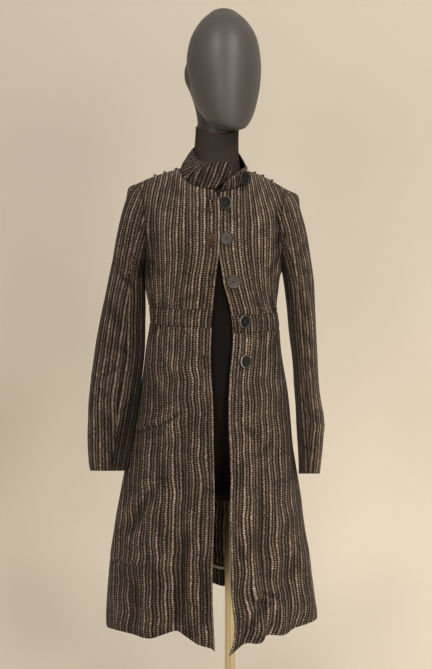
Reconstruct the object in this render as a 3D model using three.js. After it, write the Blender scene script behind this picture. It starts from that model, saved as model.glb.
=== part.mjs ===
import * as THREE from 'three';

// Coat dress hanging on a headed, limbless dress form with a pole and a round base.
// Millimetres, +Z up, the front of the garment faces -Y, the wearer's right is at -X.
// The origin lies on the pole axis, on the underside of the base.

const clothThickness = 2.0;
const halfSeam = 0.2;
const sideSeamY = 4;
const bandHeight = 37;
const bandTopRight = 1118.5;
const bandTopLeft = 1106;
const shoulderRoll = 95;
const shoulderReach = 186;
const armholeTopAngle = 57;
const underarmLevel = 0.395;
const necklineLevel = 0.8;
const neckHalf = 69;
const backNeckDrop = 0.08;
const frontLap = 2.4;
const hemDepth = 42;
const bindingHeight = 7;
const bindingThickness = 1.0;
const buttonRadius = 13;
const buttonThickness = 4;
const knotRadius = 3.6;
const poleRadius = 11.75;
const poleTop = 689.6;
const baseRadius = 175;
const baseThickness = 9;
const bossRadius = 21;
const bossTop = 34;

// Outline of the cloth. Columns: height, centre x, half width, front depth, back depth.
const bodyRows = [
  [395, -39.5, 236, 203, 223],
  [424, -40.5, 234.5, 200, 220],
  [461, -42.5, 231.5, 196, 217],
  [529, -45, 224, 188, 209],
  [575, -46, 219, 183, 202],
  [643, -45, 208, 174, 191],
  [733, -42.5, 192.5, 161, 176],
  [800, -41, 180, 151, 163],
  [867, -37.5, 170, 142, 150],
  [933, -36, 161.5, 132, 135],
  [1000, -36.5, 150.5, 120, 118],
  [1045, -36, 144.5, 111, 106],
  [1083, -35, 140.5, 106, 98],
  [1118, -38.5, 139, 106, 95],
  [1150, -38, 142, 112, 98],
  [1216, -36, 147.5, 124, 106],
  [1265, -37, 153, 122, 108],
  [1330, -37, 167, 98, 104],
  [1388, -37, 186, 80, 92],
  [1440, -37, 195, 70, 84],
];

// Shoulder line. Columns: distance from the centre, height on the wearer's right, on the left.
const shoulderRows = [
  [0, 1434, 1434],
  [40, 1428, 1427],
  [69, 1416, 1411],
  [100, 1407, 1401],
  [125, 1399, 1389],
  [156, 1387, 1373],
  [186, 1373, 1354],
];

// Front edges. Columns: height, x of the edge.
const rightEdgeRows = [
  [395, -34],
  [424, -34],
  [514, -38],
  [598, -38],
  [722, -34],
  [827, -36],
  [930, -38],
  [992, -42],
  [1055, -42],
  [1118, -38],
  [1182, -32],
  [1219, -27],
  [1265, -23],
  [1348, -25],
  [1372, -36],
];
const leftEdgeRows = [
  [395, -9],
  [404, -5],
  [430, 5],
  [461, 7],
  [514, 1],
  [597, -1],
  [680, -3],
  [784, -2],
  [889, -6],
  [972, -4],
  [1013, 0],
  [1055, 4],
  [1097, 2],
  [1139, -6],
  [1171, -15],
  [1219, -23],
  [1267, -28],
  [1339, -32],
  [1352, -28],
  [1372, -18],
];

// Hem of the front. Columns: angle from the middle of the front, height, fold outwards.
const frontHemRows = [
  [-90, 415, 0],
  [-78, 412, 3],
  [-66, 419, -3],
  [-54, 428, 4],
  [-43, 431, 6],
  [-32, 432, 8],
  [-26, 440, -4],
  [-20, 446, -18],
  [-14, 439, -8],
  [-7, 428, 3],
  [0, 420, 5],
  [2.5, 410, 4],
  [8, 404, 4],
  [13, 415, 2],
  [18, 424, -6],
  [25, 426, 5],
  [31, 435, -9],
  [40, 432, 2],
  [50, 436, -5],
  [62, 436, 1],
  [78, 430, 3],
  [90, 424, 0],
];
// Hem of the back. Columns: angle from the middle of the back, height, fold outwards.
const backHemRows = [
  [-90, 415, 0],
  [-68, 424, 8],
  [-47, 430, -7],
  [-26, 434, 8],
  [0, 435, -7],
  [24, 432, 7],
  [46, 434, -7],
  [68, 430, 7],
  [90, 424, 0],
];

// Sleeves below the underarm. Columns: height, outer x, inner x, half depth, centre y.
const rightSleeveRows = [
  [760, -305.8, -232.5, 38, -33],
  [777, -307, -230.5, 38, -31],
  [800, -308, -227.5, 39, -28],
  [844, -309.5, -218.5, 40, -23],
  [867, -309.5, -214, 41, -21],
  [911, -310, -208, 42, -16],
  [955, -305.5, -202, 42, -12],
  [1032, -294, -190, 43, -6],
  [1087, -284.5, -189, 44, -3],
  [1131, -275.5, -188, 45, 0],
  [1165, -268, -188, 46, 2],
];
const leftSleeveRows = [
  [755, 194.5, 148.5, 47, -39],
  [777, 196, 148.5, 48, -36],
  [800, 198.5, 147.5, 49, -33],
  [822, 200.5, 146, 50, -30],
  [867, 203.5, 143.5, 52, -25],
  [911, 197.5, 141, 53, -19],
  [955, 193.5, 138, 54, -14],
  [1021, 189, 132, 55, -8],
  [1087, 186, 125.5, 54, -3],
  [1118, 184, 122.5, 52, 0],
  [1150, 182, 119, 50, 2],
];
// Start and end of the sleeve head's curves. Columns: outwards, forwards, down, end length.
const sleeveHeadRows = {
  right: { top: [42, 0, -3, 86], front: [26, 7, 12, 52], under: [3, 0, 8, 16], back: [26, -7, 12, 52] },
  left: { top: [38, 0, 1, 92], front: [20, 12, 12, 52], under: [3, 0, 8, 16], back: [20, -12, 12, 52] },
};
const cuffSlope = 0.21;

// Top edge of the collar, from the wearer's right end round the back to the left end.
// Columns: share of the neckline, x, y, height.
const collarRows = [
  [0, -3, -73, 1426],
  [0.06, -24, -72, 1427],
  [0.13, -47, -66, 1426],
  [0.2, -68, -50, 1432],
  [0.27, -79, -20, 1449],
  [0.34, -81, 12, 1459],
  [0.42, -68, 46, 1466],
  [0.5, -31, 62, 1468],
  [0.58, 2, 50, 1463],
  [0.66, 18, 22, 1449],
  [0.73, 26, -10, 1432],
  [0.8, 31, -42, 1419],
  [0.87, 24, -71, 1413],
  [0.94, 6, -88, 1399],
  [1, -13, -95, 1384],
];

// Dress form. Columns: height, centre x, half width, front depth, back depth.
const formRows = [
  [690, -3, 30, 24, 24],
  [693, -6, 52, 36, 40],
  [704, -16, 90, 62, 68],
  [728, -26, 124, 88, 96],
  [765, -33, 144, 103, 116],
  [820, -36, 154, 112, 127],
  [880, -36, 155, 115, 126],
  [933, -36, 151, 114, 118],
  [1000, -36.5, 140, 106, 105],
  [1045, -36, 134, 101, 95],
  [1083, -35.5, 130.5, 97, 88],
  [1118, -37.5, 129, 97, 85],
  [1150, -37.5, 132, 102, 88],
  [1216, -36.5, 137, 113, 95],
  [1265, -37, 139, 110, 96],
  [1310, -37, 138, 96, 94],
  [1340, -37, 130, 84, 86],
  [1362, -37, 112, 72, 76],
  [1382, -36, 88, 60, 66],
  [1398, -35, 65, 52, 57],
  [1415, -33, 55, 48, 50],
  [1435, -31.5, 49.5, 45, 47],
  [1460, -30, 47, 44, 45],
  [1483.6, -28.5, 46.5, 43.5, 44.5],
];

// Head. Columns: front x, y, z, back x, y, z, wearer's right x, y, z, wearer's left x, y, z.
const headRows = [
  [-28.5, -40, 1484, -28.5, 46, 1484, -74, 3, 1484, 17, 3, 1484],
  [-24, -50, 1489, -28, 49, 1498, -73, 3, 1496, 18.5, 3, 1495],
  [-12, -80, 1493, -27, 56, 1520, -71.5, 0, 1513, 30, -6, 1508],
  [-9, -92, 1510, -24, 70, 1548, -77, 0, 1542, 45, -5, 1534],
  [-8, -98, 1545, -20, 86, 1580, -87, 2, 1574, 56.5, -2, 1568],
  [-9, -100, 1590, -18, 95, 1612, -99, 4, 1604, 63.5, 0, 1600],
  [-11, -96, 1640, -16, 98, 1650, -97, 5, 1642, 64.5, 3, 1640],
  [-13, -80, 1690, -16, 87, 1695, -86, 6, 1690, 56, 5, 1690],
  [-14, -55, 1726, -16, 63, 1729, -65, 6, 1726, 35, 6, 1726],
  [-15, -26, 1747, -16, 36, 1748, -41, 6, 1747, 10, 6, 1747],
];
const headTop = [-16, 5, 1754];

// Buttons on the wearer's left front. Columns: x, height.
const buttonRows = {
  bodice: [[-8.5, 1340], [-6.5, 1267], [4, 1180]],
  band: [[25, 1093]],
  skirt: [[25, 1006]],
};
const collarButton = { along: 0.87, up: 0.66 };
// Knots on each shoulder line. Columns: distance from the centre of the garment.
const knotRows = { right: [78, 103, 124], left: [87, 105, 126] };

const material = (name, color, roughness, metalness) => {
  const made = new THREE.MeshStandardMaterial({ color, roughness, metalness });
  made.name = name;
  return made;
};
const stripedCloth = material('striped_cloth', 0x5b4c42, 0.9, 0);
const darkPlastic = material('dark_button', 0x3c3a3b, 0.45, 0);
const darkThread = material('dark_thread', 0x2a2420, 0.9, 0);
const tape = material('binding_tape', 0x8b8884, 0.9, 0);
const formCloth = material('form_cover', 0x3b3437, 0.9, 0);
const headPaint = material('head_paint', 0x5b5650, 0.5, 0);
const brass = material('brass', 0xbf9f66, 0.35, 0.9);

const lerp = (a, b, t) => a + (b - a) * t;
const clamp = (value, low, high) => Math.min(high, Math.max(low, value));
const ease = (low, high, value) => {
  const t = clamp((value - low) / (high - low), 0, 1);
  return t * t * (3 - 2 * t);
};
const radians = (degrees) => (degrees * Math.PI) / 180;

// Smooth values between the rows of a table whose first column rises.
function between(rows, key) {
  const last = rows.length - 1;
  let k = 0;
  while (k < last - 1 && rows[k + 1][0] < key) {
    k += 1;
  }
  const a = rows[k];
  const b = rows[k + 1];
  const before = rows[Math.max(0, k - 1)];
  const after = rows[Math.min(last, k + 2)];
  const span = b[0] - a[0];
  const t = clamp((key - a[0]) / span, 0, 1);
  const out = [];
  for (let column = 1; column < a.length; column += 1) {
    const startSlope = ((b[column] - before[column]) / (b[0] - before[0])) * span;
    const endSlope = ((after[column] - a[column]) / (after[0] - a[0])) * span;
    const rise = b[column] - a[column];
    const c2 = 3 * rise - 2 * startSlope - endSlope;
    const c3 = startSlope + endSlope - 2 * rise;
    out.push(a[column] + t * (startSlope + t * (c2 + t * c3)));
  }
  return out;
}

// A closed wall from a grid of outer points. The inner face lies one thickness inside.
function wall(name, surface, columns, rows, inside, thickness, look) {
  const wide = columns.length;
  const outer = [];
  const inner = [];
  const step = 1e-3;
  for (const row of rows) {
    for (const column of columns) {
      const point = surface(column, row);
      const lowC = Math.max(columns[0], column - step);
      const highC = Math.min(columns[wide - 1], column + step);
      const lowR = Math.max(rows[0], row - step);
      const highR = Math.min(rows[rows.length - 1], row + step);
      const across = surface(highC, row).sub(surface(lowC, row));
      const along = surface(column, highR).sub(surface(column, lowR));
      const normal = across.cross(along).normalize();
      if (normal.dot(point.clone().sub(inside(point, column, row))) < 0) {
        normal.negate();
      }
      outer.push(point);
      inner.push(point.clone().addScaledVector(normal, -thickness));
    }
  }
  const faces = [];
  const offset = outer.length;
  const quad = (a, b, c, d) => faces.push(a, b, c, a, c, d);
  for (let j = 0; j < rows.length - 1; j += 1) {
    for (let i = 0; i < wide - 1; i += 1) {
      const a = j * wide + i;
      quad(a, a + 1, a + 1 + wide, a + wide);
      quad(offset + a, offset + a + wide, offset + a + 1 + wide, offset + a + 1);
    }
  }
  const lastRow = (rows.length - 1) * wide;
  for (let i = 0; i < wide - 1; i += 1) {
    quad(offset + i, offset + i + 1, i + 1, i);
    quad(lastRow + i, lastRow + i + 1, offset + lastRow + i + 1, offset + lastRow + i);
  }
  for (let j = 0; j < rows.length - 1; j += 1) {
    const left = j * wide;
    const right = left + wide - 1;
    quad(left, left + wide, offset + left + wide, offset + left);
    quad(right, offset + right, offset + right + wide, right + wide);
  }
  return solid(name, outer.concat(inner), faces, look);
}

// A mesh with its faces turned outwards.
function solid(name, points, faces, look) {
  let volume = 0;
  for (let k = 0; k < faces.length; k += 3) {
    const a = points[faces[k]];
    const b = points[faces[k + 1]];
    const c = points[faces[k + 2]];
    volume += a.dot(b.clone().cross(c));
  }
  if (volume < 0) {
    for (let k = 0; k < faces.length; k += 3) {
      [faces[k + 1], faces[k + 2]] = [faces[k + 2], faces[k + 1]];
    }
  }
  const geometry = new THREE.BufferGeometry();
  const flat = points.flatMap((point) => [point.x, point.y, point.z]);
  geometry.setAttribute('position', new THREE.Float32BufferAttribute(flat, 3));
  geometry.setIndex(faces);
  geometry.computeVertexNormals();
  const mesh = new THREE.Mesh(geometry, look);
  mesh.name = name;
  return mesh;
}

// A closed body from rings of equal count, its two ends closed by a middle point.
function ringBody(name, rings, endPoints, look) {
  const count = rings[0].length;
  const points = rings.flat();
  const faces = [];
  for (let j = 0; j < rings.length - 1; j += 1) {
    for (let i = 0; i < count; i += 1) {
      const a = j * count + i;
      const b = j * count + ((i + 1) % count);
      faces.push(a, b, b + count, a, b + count, a + count);
    }
  }
  const first = points.length;
  points.push(endPoints[0], endPoints[1]);
  const top = (rings.length - 1) * count;
  for (let i = 0; i < count; i += 1) {
    const next = (i + 1) % count;
    faces.push(first, next, i);
    faces.push(first + 1, top + i, top + next);
  }
  return solid(name, points, faces, look);
}

// Turned body about an axis through a place. Profile columns: radius, height along the axis.
function turned(name, profile, segments, place, axis, look) {
  const turn = new THREE.Quaternion().setFromUnitVectors(new THREE.Vector3(0, 0, 1), axis);
  const at = (radius, height, angle) =>
    new THREE.Vector3(radius * Math.cos(angle), radius * Math.sin(angle), height)
      .applyQuaternion(turn)
      .add(place);
  const rings = profile.map(([radius, height]) =>
    Array.from({ length: segments }, (_, k) => at(radius, height, (k * 2 * Math.PI) / segments)));
  const ends = [at(0, profile[0][1], 0), at(0, profile[profile.length - 1][1], 0)];
  return ringBody(name, rings, ends, look);
}

const list = (low, high, count) =>
  Array.from({ length: count + 1 }, (_, k) => lerp(low, high, k / count));

const bandTopAt = (angle, piece) => {
  if (piece === 'right') {
    return bandTopRight;
  }
  if (piece === 'left') {
    return bandTopLeft;
  }
  return lerp(bandTopRight, bandTopLeft, (Math.sin(angle) + 1) / 2);
};
const shoulderHeight = (u) => between(shoulderRows, Math.abs(u))[u < 0 ? 0 : 1];
const edgeX = (piece, z) => between(piece === 'right' ? rightEdgeRows : leftEdgeRows, z)[0];

// Raises the wearer's right front and lowers the left front where the right laps over.
function lapLift(piece, x, z) {
  const near = 1 - ease(4, 34, Math.abs(x - edgeX(piece, z)));
  const level = ease(1200, 1232, z) * (1 - ease(1352, 1368, z));
  return (piece === 'right' ? -1 : 1) * frontLap * near * level;
}

// Point of the bodice from its angle about the body and its share of the height.
function bodicePoint(piece, angle, share) {
  const u = shoulderReach * Math.sin(angle);
  const low = bandTopAt(angle, piece) + halfSeam;
  const high = shoulderHeight(u);
  const z = lerp(low, high, share);
  const [centre, half, front, back] = between(bodyRows, z);
  const roll = clamp((high - z) / shoulderRoll, 0, 1);
  const full = Math.sqrt(1 - (1 - roll) ** 2);
  const x = centre + half * Math.sin(angle);
  if (piece === 'back') {
    return new THREE.Vector3(x, sideSeamY + halfSeam + (back - sideSeamY) * Math.cos(angle) * full, z);
  }
  const y = sideSeamY - halfSeam - (front + sideSeamY) * Math.cos(angle) * full;
  return new THREE.Vector3(x, y + lapLift(piece, x, z), z);
}

// Angle of the side seam below the underarm and of the armhole above it.
function armholeAngle(share) {
  const rise = clamp((share - underarmLevel) / (1 - underarmLevel), 0, 1);
  return radians(90 - (90 - armholeTopAngle) * Math.sqrt(rise));
}

// Angle of the front edge below the neckline and of the neckline above it.
function edgeAngle(piece, share) {
  const side = piece === 'right' ? -1 : 1;
  const z = lerp(bandTopAt(0, piece), shoulderHeight(0), Math.min(share, necklineLevel));
  const [centre, half] = between(bodyRows, z);
  const edge = Math.asin((edgeX(piece, z) - centre) / half);
  if (share <= necklineLevel) {
    return edge;
  }
  const rise = clamp((share - necklineLevel) / (1 - necklineLevel), 0, 1);
  const start = shoulderReach * Math.sin(edge);
  const round = Math.sqrt(1 - (1 - rise) ** 2);
  return Math.asin(lerp(start, side * neckHalf, round) / shoulderReach);
}

const armholeShares = [
  underarmLevel, 0.425, 0.475, 0.54, 0.61, 0.69, necklineLevel,
  ...[1, 2, 3, 4, 5, 6].map((k) => 1 - (1 - necklineLevel) * (1 - k / 6) ** 2),
];
const bodiceShares = [0, 0.2, ...armholeShares];

function bodiceFront(piece) {
  const side = piece === 'right' ? -1 : 1;
  const surface = (s, share) => {
    const angle = lerp(edgeAngle(piece, share), side * armholeAngle(share), s);
    return bodicePoint(piece, angle, share);
  };
  const inside = (point) => new THREE.Vector3(between(bodyRows, point.z)[0], 0, point.z - 20);
  return wall(`bodice_${piece}_front`, surface, list(0, 1, 15), bodiceShares, inside,
    clothThickness, stripedCloth);
}

const neckShare = (armholeTopAngle - (Math.asin(neckHalf / shoulderReach) * 180) / Math.PI)
  / (2 * armholeTopAngle);
const backColumns = [
  ...list(0, neckShare, 7), ...list(neckShare, 1 - neckShare, 10).slice(1), ...list(1 - neckShare, 1, 7).slice(1),
];
function bodiceBackPoint(s, share) {
  const reach = armholeAngle(share);
  const angle = lerp(-reach, reach, s);
  const u = shoulderReach * Math.sin(angle);
  const hollow = Math.sqrt(Math.max(0, 1 - (u / neckHalf) ** 2));
  return bodicePoint('back', angle, share * (1 - backNeckDrop * hollow));
}

function bodiceBack() {
  const inside = (point) => new THREE.Vector3(between(bodyRows, point.z)[0], 0, point.z - 20);
  return wall('bodice_back', bodiceBackPoint, backColumns, bodiceShares, inside,
    clothThickness, stripedCloth);
}

// Point of the waistband or skirt ring from its angle and height, with a fold outwards.
function ringPoint(piece, angle, z, fold) {
  const [centre, half, front, back] = between(bodyRows, z);
  const x = centre + (half + fold) * Math.sin(angle);
  if (piece === 'back') {
    return new THREE.Vector3(x, sideSeamY + halfSeam + (back + fold - sideSeamY) * Math.cos(angle), z);
  }
  return new THREE.Vector3(x, sideSeamY - halfSeam - (front + fold + sideSeamY) * Math.cos(angle), z);
}

const ringEdgeAngle = (piece, z) => {
  const [centre, half] = between(bodyRows, z);
  return Math.asin((edgeX(piece, z) - centre) / half);
};

function bandPoint(piece, s, share) {
  const side = piece === 'right' ? -1 : 1;
  let angle = lerp(-Math.PI / 2, Math.PI / 2, s);
  if (piece !== 'back') {
    const z = bandTopAt(0, piece) - bandHeight * share;
    angle = lerp(ringEdgeAngle(piece, z), (side * Math.PI) / 2, s);
  }
  const top = bandTopAt(angle, piece) - halfSeam;
  return ringPoint(piece, angle, lerp(top, top - bandHeight + 2 * halfSeam, share), 0);
}

function skirtPoint(piece, s, share) {
  const side = piece === 'right' ? -1 : 1;
  const hemRows = piece === 'back' ? backHemRows : frontHemRows;
  let angle = lerp(-Math.PI / 2, Math.PI / 2, s);
  if (piece !== 'back') {
    const start = bandTopAt(0, piece) - bandHeight;
    const tip = piece === 'right' ? 416 : 404;
    angle = lerp(ringEdgeAngle(piece, lerp(start, tip, share)), (side * Math.PI) / 2, s);
  }
  const top = bandTopAt(angle, piece) - bandHeight - halfSeam;
  const [hem, fold] = between(hemRows, (angle * 180) / Math.PI);
  return ringPoint(piece, angle, lerp(top, hem, share), fold * share ** 1.7);
}

const ringInside = (point) => new THREE.Vector3(between(bodyRows, point.z)[0], 0, point.z);
const skirtShares = [0, 0.07, 0.16, 0.27, 0.39, 0.52, 0.64, 0.75, 0.85, 0.93, 1];

function bandPiece(piece, columns) {
  const suffix = piece === 'back' ? 'back' : `${piece}_front`;
  return wall(`band_${suffix}`, (s, share) => bandPoint(piece, s, share), list(0, 1, columns),
    [0, 0.5, 1], ringInside, clothThickness, stripedCloth);
}

function skirtPiece(piece, columns) {
  const suffix = piece === 'back' ? 'back' : `${piece}_front`;
  return wall(`skirt_${suffix}`, (s, share) => skirtPoint(piece, s, share), list(0, 1, columns),
    skirtShares, ringInside, clothThickness, stripedCloth);
}

// Binding on the raw edge of the turned-up hem, inside the back of the skirt.
function hemBinding() {
  const surface = (s, up) => {
    const share = 1 - (hemDepth + bindingHeight * up) / 640;
    const point = skirtPoint('back', s, share);
    const ahead = skirtPoint('back', Math.min(1, s + 1e-3), share);
    const behind = skirtPoint('back', Math.max(0, s - 1e-3), share);
    const along = ahead.sub(behind);
    const normal = new THREE.Vector3(along.y, -along.x, 0).normalize();
    if (normal.dot(point.clone().sub(ringInside(point))) < 0) {
      normal.negate();
    }
    return point.addScaledVector(normal, -clothThickness - 1.2);
  };
  return wall('hem_binding_back', surface, list(0.015, 0.985, 32), [0, 1], ringInside,
    bindingThickness, tape);
}

// Value that runs smoothly through the top, front, under and back rows of a sleeve ring.
function around(theta, top, front, under, back) {
  const mean = (top + front + under + back) / 4;
  const upright = (top - under) / 2;
  const forward = (front - back) / 2;
  const oval = (top + under - front - back) / 4;
  return mean + upright * Math.cos(theta) + forward * Math.sin(theta) + oval * Math.cos(2 * theta);
}

function armholePoint(piece, theta) {
  const side = piece === 'right' ? -1 : 1;
  const turn = ((theta / (2 * Math.PI)) % 1 + 1) % 1;
  const backHalf = turn > 0.5;
  const steps = (backHalf ? 1 - turn : turn) * 2 * (armholeShares.length - 1);
  const k = Math.min(armholeShares.length - 2, Math.floor(steps));
  const fromTop = armholeShares.length - 1 - k;
  const high = armholeShares[fromTop];
  const low = armholeShares[fromTop - 1];
  const share = lerp(high, low, steps - k);
  const angle = side * armholeAngle(share);
  const point = bodicePoint(backHalf ? 'back' : piece, angle, share);
  point.x += side * 0.6;
  return point;
}

function hangingPoint(piece, theta, down) {
  const side = piece === 'right' ? -1 : 1;
  const rows = piece === 'right' ? rightSleeveRows : leftSleeveRows;
  const z = lerp(rows[rows.length - 1][0], rows[0][0], down);
  const [outerX, innerX, depth, centreY] = between(rows, z);
  const half = Math.abs(outerX - innerX) / 2;
  const x = (outerX + innerX) / 2 + side * half * Math.cos(theta);
  const forward = depth * Math.sin(theta);
  return new THREE.Vector3(x, centreY - forward, z + cuffSlope * forward * ease(0.2, 1, down));
}

// Sleeve from the armhole (0) over the head to the first level ring (1) and the cuff (2).
function sleevePoint(piece, theta, along) {
  if (along > 1) {
    return hangingPoint(piece, theta, along - 1);
  }
  const side = piece === 'right' ? -1 : 1;
  const head = sleeveHeadRows[piece];
  const [out, forward, fall, length] = [0, 1, 2, 3].map((k) =>
    around(theta, head.top[k], head.front[k], head.under[k], head.back[k]));
  const p0 = armholePoint(piece, theta);
  const p1 = p0.clone().add(new THREE.Vector3(side * out, -forward, -fall));
  const p3 = hangingPoint(piece, theta, 0);
  const slope = hangingPoint(piece, theta, 0.01).sub(p3);
  const p2 = p3.clone().addScaledVector(slope, length / slope.z);
  const t = along;
  const keep = 1 - t;
  return p0.multiplyScalar(keep ** 3)
    .addScaledVector(p1, 3 * keep * keep * t)
    .addScaledVector(p2, 3 * keep * t * t)
    .addScaledVector(p3, t ** 3);
}

function sleevePiece(piece, part) {
  const step = (2 * Math.PI) / 24;
  const gap = 0.006;
  const steps = part === 'top' ? list(17, 31, 14) : list(7, 17, 10);
  const columns = steps.map((k) => k * step);
  columns[0] += gap;
  columns[columns.length - 1] -= gap;
  const inside = (point, theta, along) =>
    sleevePoint(piece, 0, along).add(sleevePoint(piece, Math.PI, along)).multiplyScalar(0.5);
  const rows = [0, 0.14, 0.28, 0.44, 0.62, 0.8, 1, 1.13, 1.26, 1.4, 1.52, 1.64, 1.76, 1.88, 2];
  return wall(`sleeve_${piece}_${part}`, (theta, along) => sleevePoint(piece, theta, along),
    columns, rows, inside, clothThickness, stripedCloth);
}

// Neckline points, from the wearer's right front round the back to the left front.
function necklinePoints() {
  const rise = [0, 1, 2, 3, 4, 5, 6].map((k) => 1 - (1 - necklineLevel) * (1 - k / 6) ** 2);
  const right = rise.map((share) => bodicePoint('right', edgeAngle('right', share), share));
  const left = rise.map((share) => bodicePoint('left', edgeAngle('left', share), share));
  const back = list(neckShare, 1 - neckShare, 10).map((s) => bodiceBackPoint(s, 1));
  return [...right, ...back, ...left.reverse()];
}
const neckline = necklinePoints();
const necklineLengths = neckline.map(() => 0);
for (let k = 1; k < neckline.length; k += 1) {
  necklineLengths[k] = necklineLengths[k - 1] + neckline[k].distanceTo(neckline[k - 1]);
}
function necklineAt(share) {
  const length = share * necklineLengths[neckline.length - 1];
  let k = 0;
  while (k < neckline.length - 2 && necklineLengths[k + 1] < length) {
    k += 1;
  }
  const span = necklineLengths[k + 1] - necklineLengths[k];
  return neckline[k].clone().lerp(neckline[k + 1], (length - necklineLengths[k]) / span);
}

function collarPoint(along, up) {
  const base = necklineAt(along).add(new THREE.Vector3(0, 0, 0.7));
  const [x, y, z] = between(collarRows, along);
  const bulge = 3.5 * Math.sin(Math.PI * up);
  const point = base.lerp(new THREE.Vector3(x, y, z), up);
  const outwards = new THREE.Vector3(point.x + 33, point.y + 4, 0).normalize();
  return point.addScaledVector(outwards, bulge);
}

function collar() {
  const shares = necklineLengths.map((length) => length / necklineLengths[neckline.length - 1]);
  const columns = [];
  for (let k = 0; k < shares.length - 1; k += 1) {
    if (shares[k + 1] - shares[k] > 1e-3) {
      columns.push(shares[k], (shares[k] + shares[k + 1]) / 2);
    }
  }
  columns.push(1);
  const inside = (point) => new THREE.Vector3(-33, -4, point.z - 10);
  return wall('collar', collarPoint, columns, [0, 0.25, 0.5, 0.75, 1], inside,
    clothThickness, stripedCloth);
}

function surfacePlace(surface, column, row, insidePoint, lift) {
  const step = 2e-3;
  const point = surface(column, row);
  const across = surface(column + step, row).sub(surface(column - step, row));
  const along = surface(column, row + step).sub(surface(column, row - step));
  const normal = across.cross(along).normalize();
  if (normal.dot(point.clone().sub(insidePoint)) < 0) {
    normal.negate();
  }
  return { place: point.addScaledVector(normal, lift), normal };
}

function button(name, place, normal) {
  const rim = buttonThickness;
  const profile = [
    [buttonRadius - 2.2, 0],
    [buttonRadius, 1.4],
    [buttonRadius - 0.3, rim - 0.4],
    [buttonRadius - 1.6, rim],
    [buttonRadius - 3.6, rim - 1.6],
  ];
  return turned(name, profile, 18, place, normal, darkPlastic);
}

function buttons() {
  const made = [];
  const add = (surface, column, row, centre) => {
    const { place, normal } = surfacePlace(surface, column, row, centre, 0.5);
    made.push(button(`button_${made.length + 1}`, place, normal));
  };
  add(collarPoint, collarButton.along, collarButton.up, new THREE.Vector3(-33, 0, 1390));
  const angleOf = (x, z) => {
    const [centre, half] = between(bodyRows, z);
    return Math.asin((x - centre) / half);
  };
  for (const [x, z] of buttonRows.bodice) {
    const angle = angleOf(x, z);
    const share = (z - bandTopLeft) / (shoulderHeight(shoulderReach * Math.sin(angle)) - bandTopLeft);
    add((a, b) => bodicePoint('left', a, b), angle, share, new THREE.Vector3(-37, 0, z));
  }
  for (const [x, z] of [...buttonRows.band, ...buttonRows.skirt]) {
    add((a, b) => ringPoint('left', a, z + (b - 0.5) * 40, 0), angleOf(x, z), 0.5,
      new THREE.Vector3(-37, 0, z));
  }
  return made;
}

function knots() {
  const made = [];
  for (const piece of ['right', 'left']) {
    const side = piece === 'right' ? -1 : 1;
    for (const distance of knotRows[piece]) {
      const lineAt = (reach) => {
        const z = shoulderHeight(side * reach);
        const [centre, half] = between(bodyRows, z);
        return new THREE.Vector3(centre + (half * side * reach) / shoulderReach, sideSeamY, z);
      };
      const along = lineAt(distance + 3).sub(lineAt(distance - 3)).multiplyScalar(side);
      const axis = new THREE.Vector3(-along.z, 0, along.x).normalize();
      const place = lineAt(distance).addScaledVector(axis, 1.2);
      const profile = [[knotRadius * 0.8, 0], [knotRadius, 1.4], [knotRadius * 0.7, 3.2], [knotRadius * 0.25, 4]];
      made.push(turned(`knot_${made.length + 1}`, profile, 8, place, axis, darkThread));
    }
  }
  return made;
}

function formTorso() {
  const count = 32;
  const rings = formRows.map(([z, centre, half, front, back]) =>
    Array.from({ length: count }, (_, k) => {
      const angle = (k * 2 * Math.PI) / count;
      const depth = Math.cos(angle) > 0 ? front : back;
      return new THREE.Vector3(centre + half * Math.sin(angle), -depth * Math.cos(angle), z);
    }));
  const ends = [new THREE.Vector3(-3, 0, 690), new THREE.Vector3(-28.5, 0, 1483.6)];
  return ringBody('form_torso', rings, ends, formCloth);
}

function formHead() {
  const count = 28;
  const rings = headRows.map((row) =>
    Array.from({ length: count }, (_, k) => {
      const angle = (k * 2 * Math.PI) / count;
      const at = [0, 1, 2].map((c) => around(angle, row[c], row[6 + c], row[3 + c], row[9 + c]));
      return new THREE.Vector3(...at);
    }));
  const ends = [new THREE.Vector3(-28.5, 3, 1484), new THREE.Vector3(...headTop)];
  return ringBody('form_head', rings, ends, headPaint);
}

function stand() {
  const origin = new THREE.Vector3(0, 0, 0);
  const up = new THREE.Vector3(0, 0, 1);
  const pole = turned('pole', [[poleRadius, bossTop + 0.4], [poleRadius, poleTop]], 32, origin, up, brass);
  const profile = [
    [baseRadius - 1.5, 0],
    [baseRadius, 1.5],
    [baseRadius, baseThickness - 2],
    [baseRadius - 2, baseThickness],
    [bossRadius + 6, baseThickness],
    [bossRadius, baseThickness + 6],
    [bossRadius, bossTop - 2],
    [bossRadius - 2, bossTop],
  ];
  return [pole, turned('base_plate', profile, 48, origin, up, brass)];
}

const group = new THREE.Group();
group.name = 'coat_dress_on_form';
group.add(
  bodiceFront('right'),
  bodiceFront('left'),
  bodiceBack(),
  bandPiece('right', 16),
  bandPiece('left', 14),
  bandPiece('back', 30),
  skirtPiece('right', 22),
  skirtPiece('left', 20),
  skirtPiece('back', 34),
  hemBinding(),
  collar(),
  sleevePiece('right', 'top'),
  sleevePiece('right', 'under'),
  sleevePiece('left', 'top'),
  sleevePiece('left', 'under'),
  ...buttons(),
  ...knots(),
  formTorso(),
  formHead(),
  ...stand(),
);

export default group;
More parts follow.
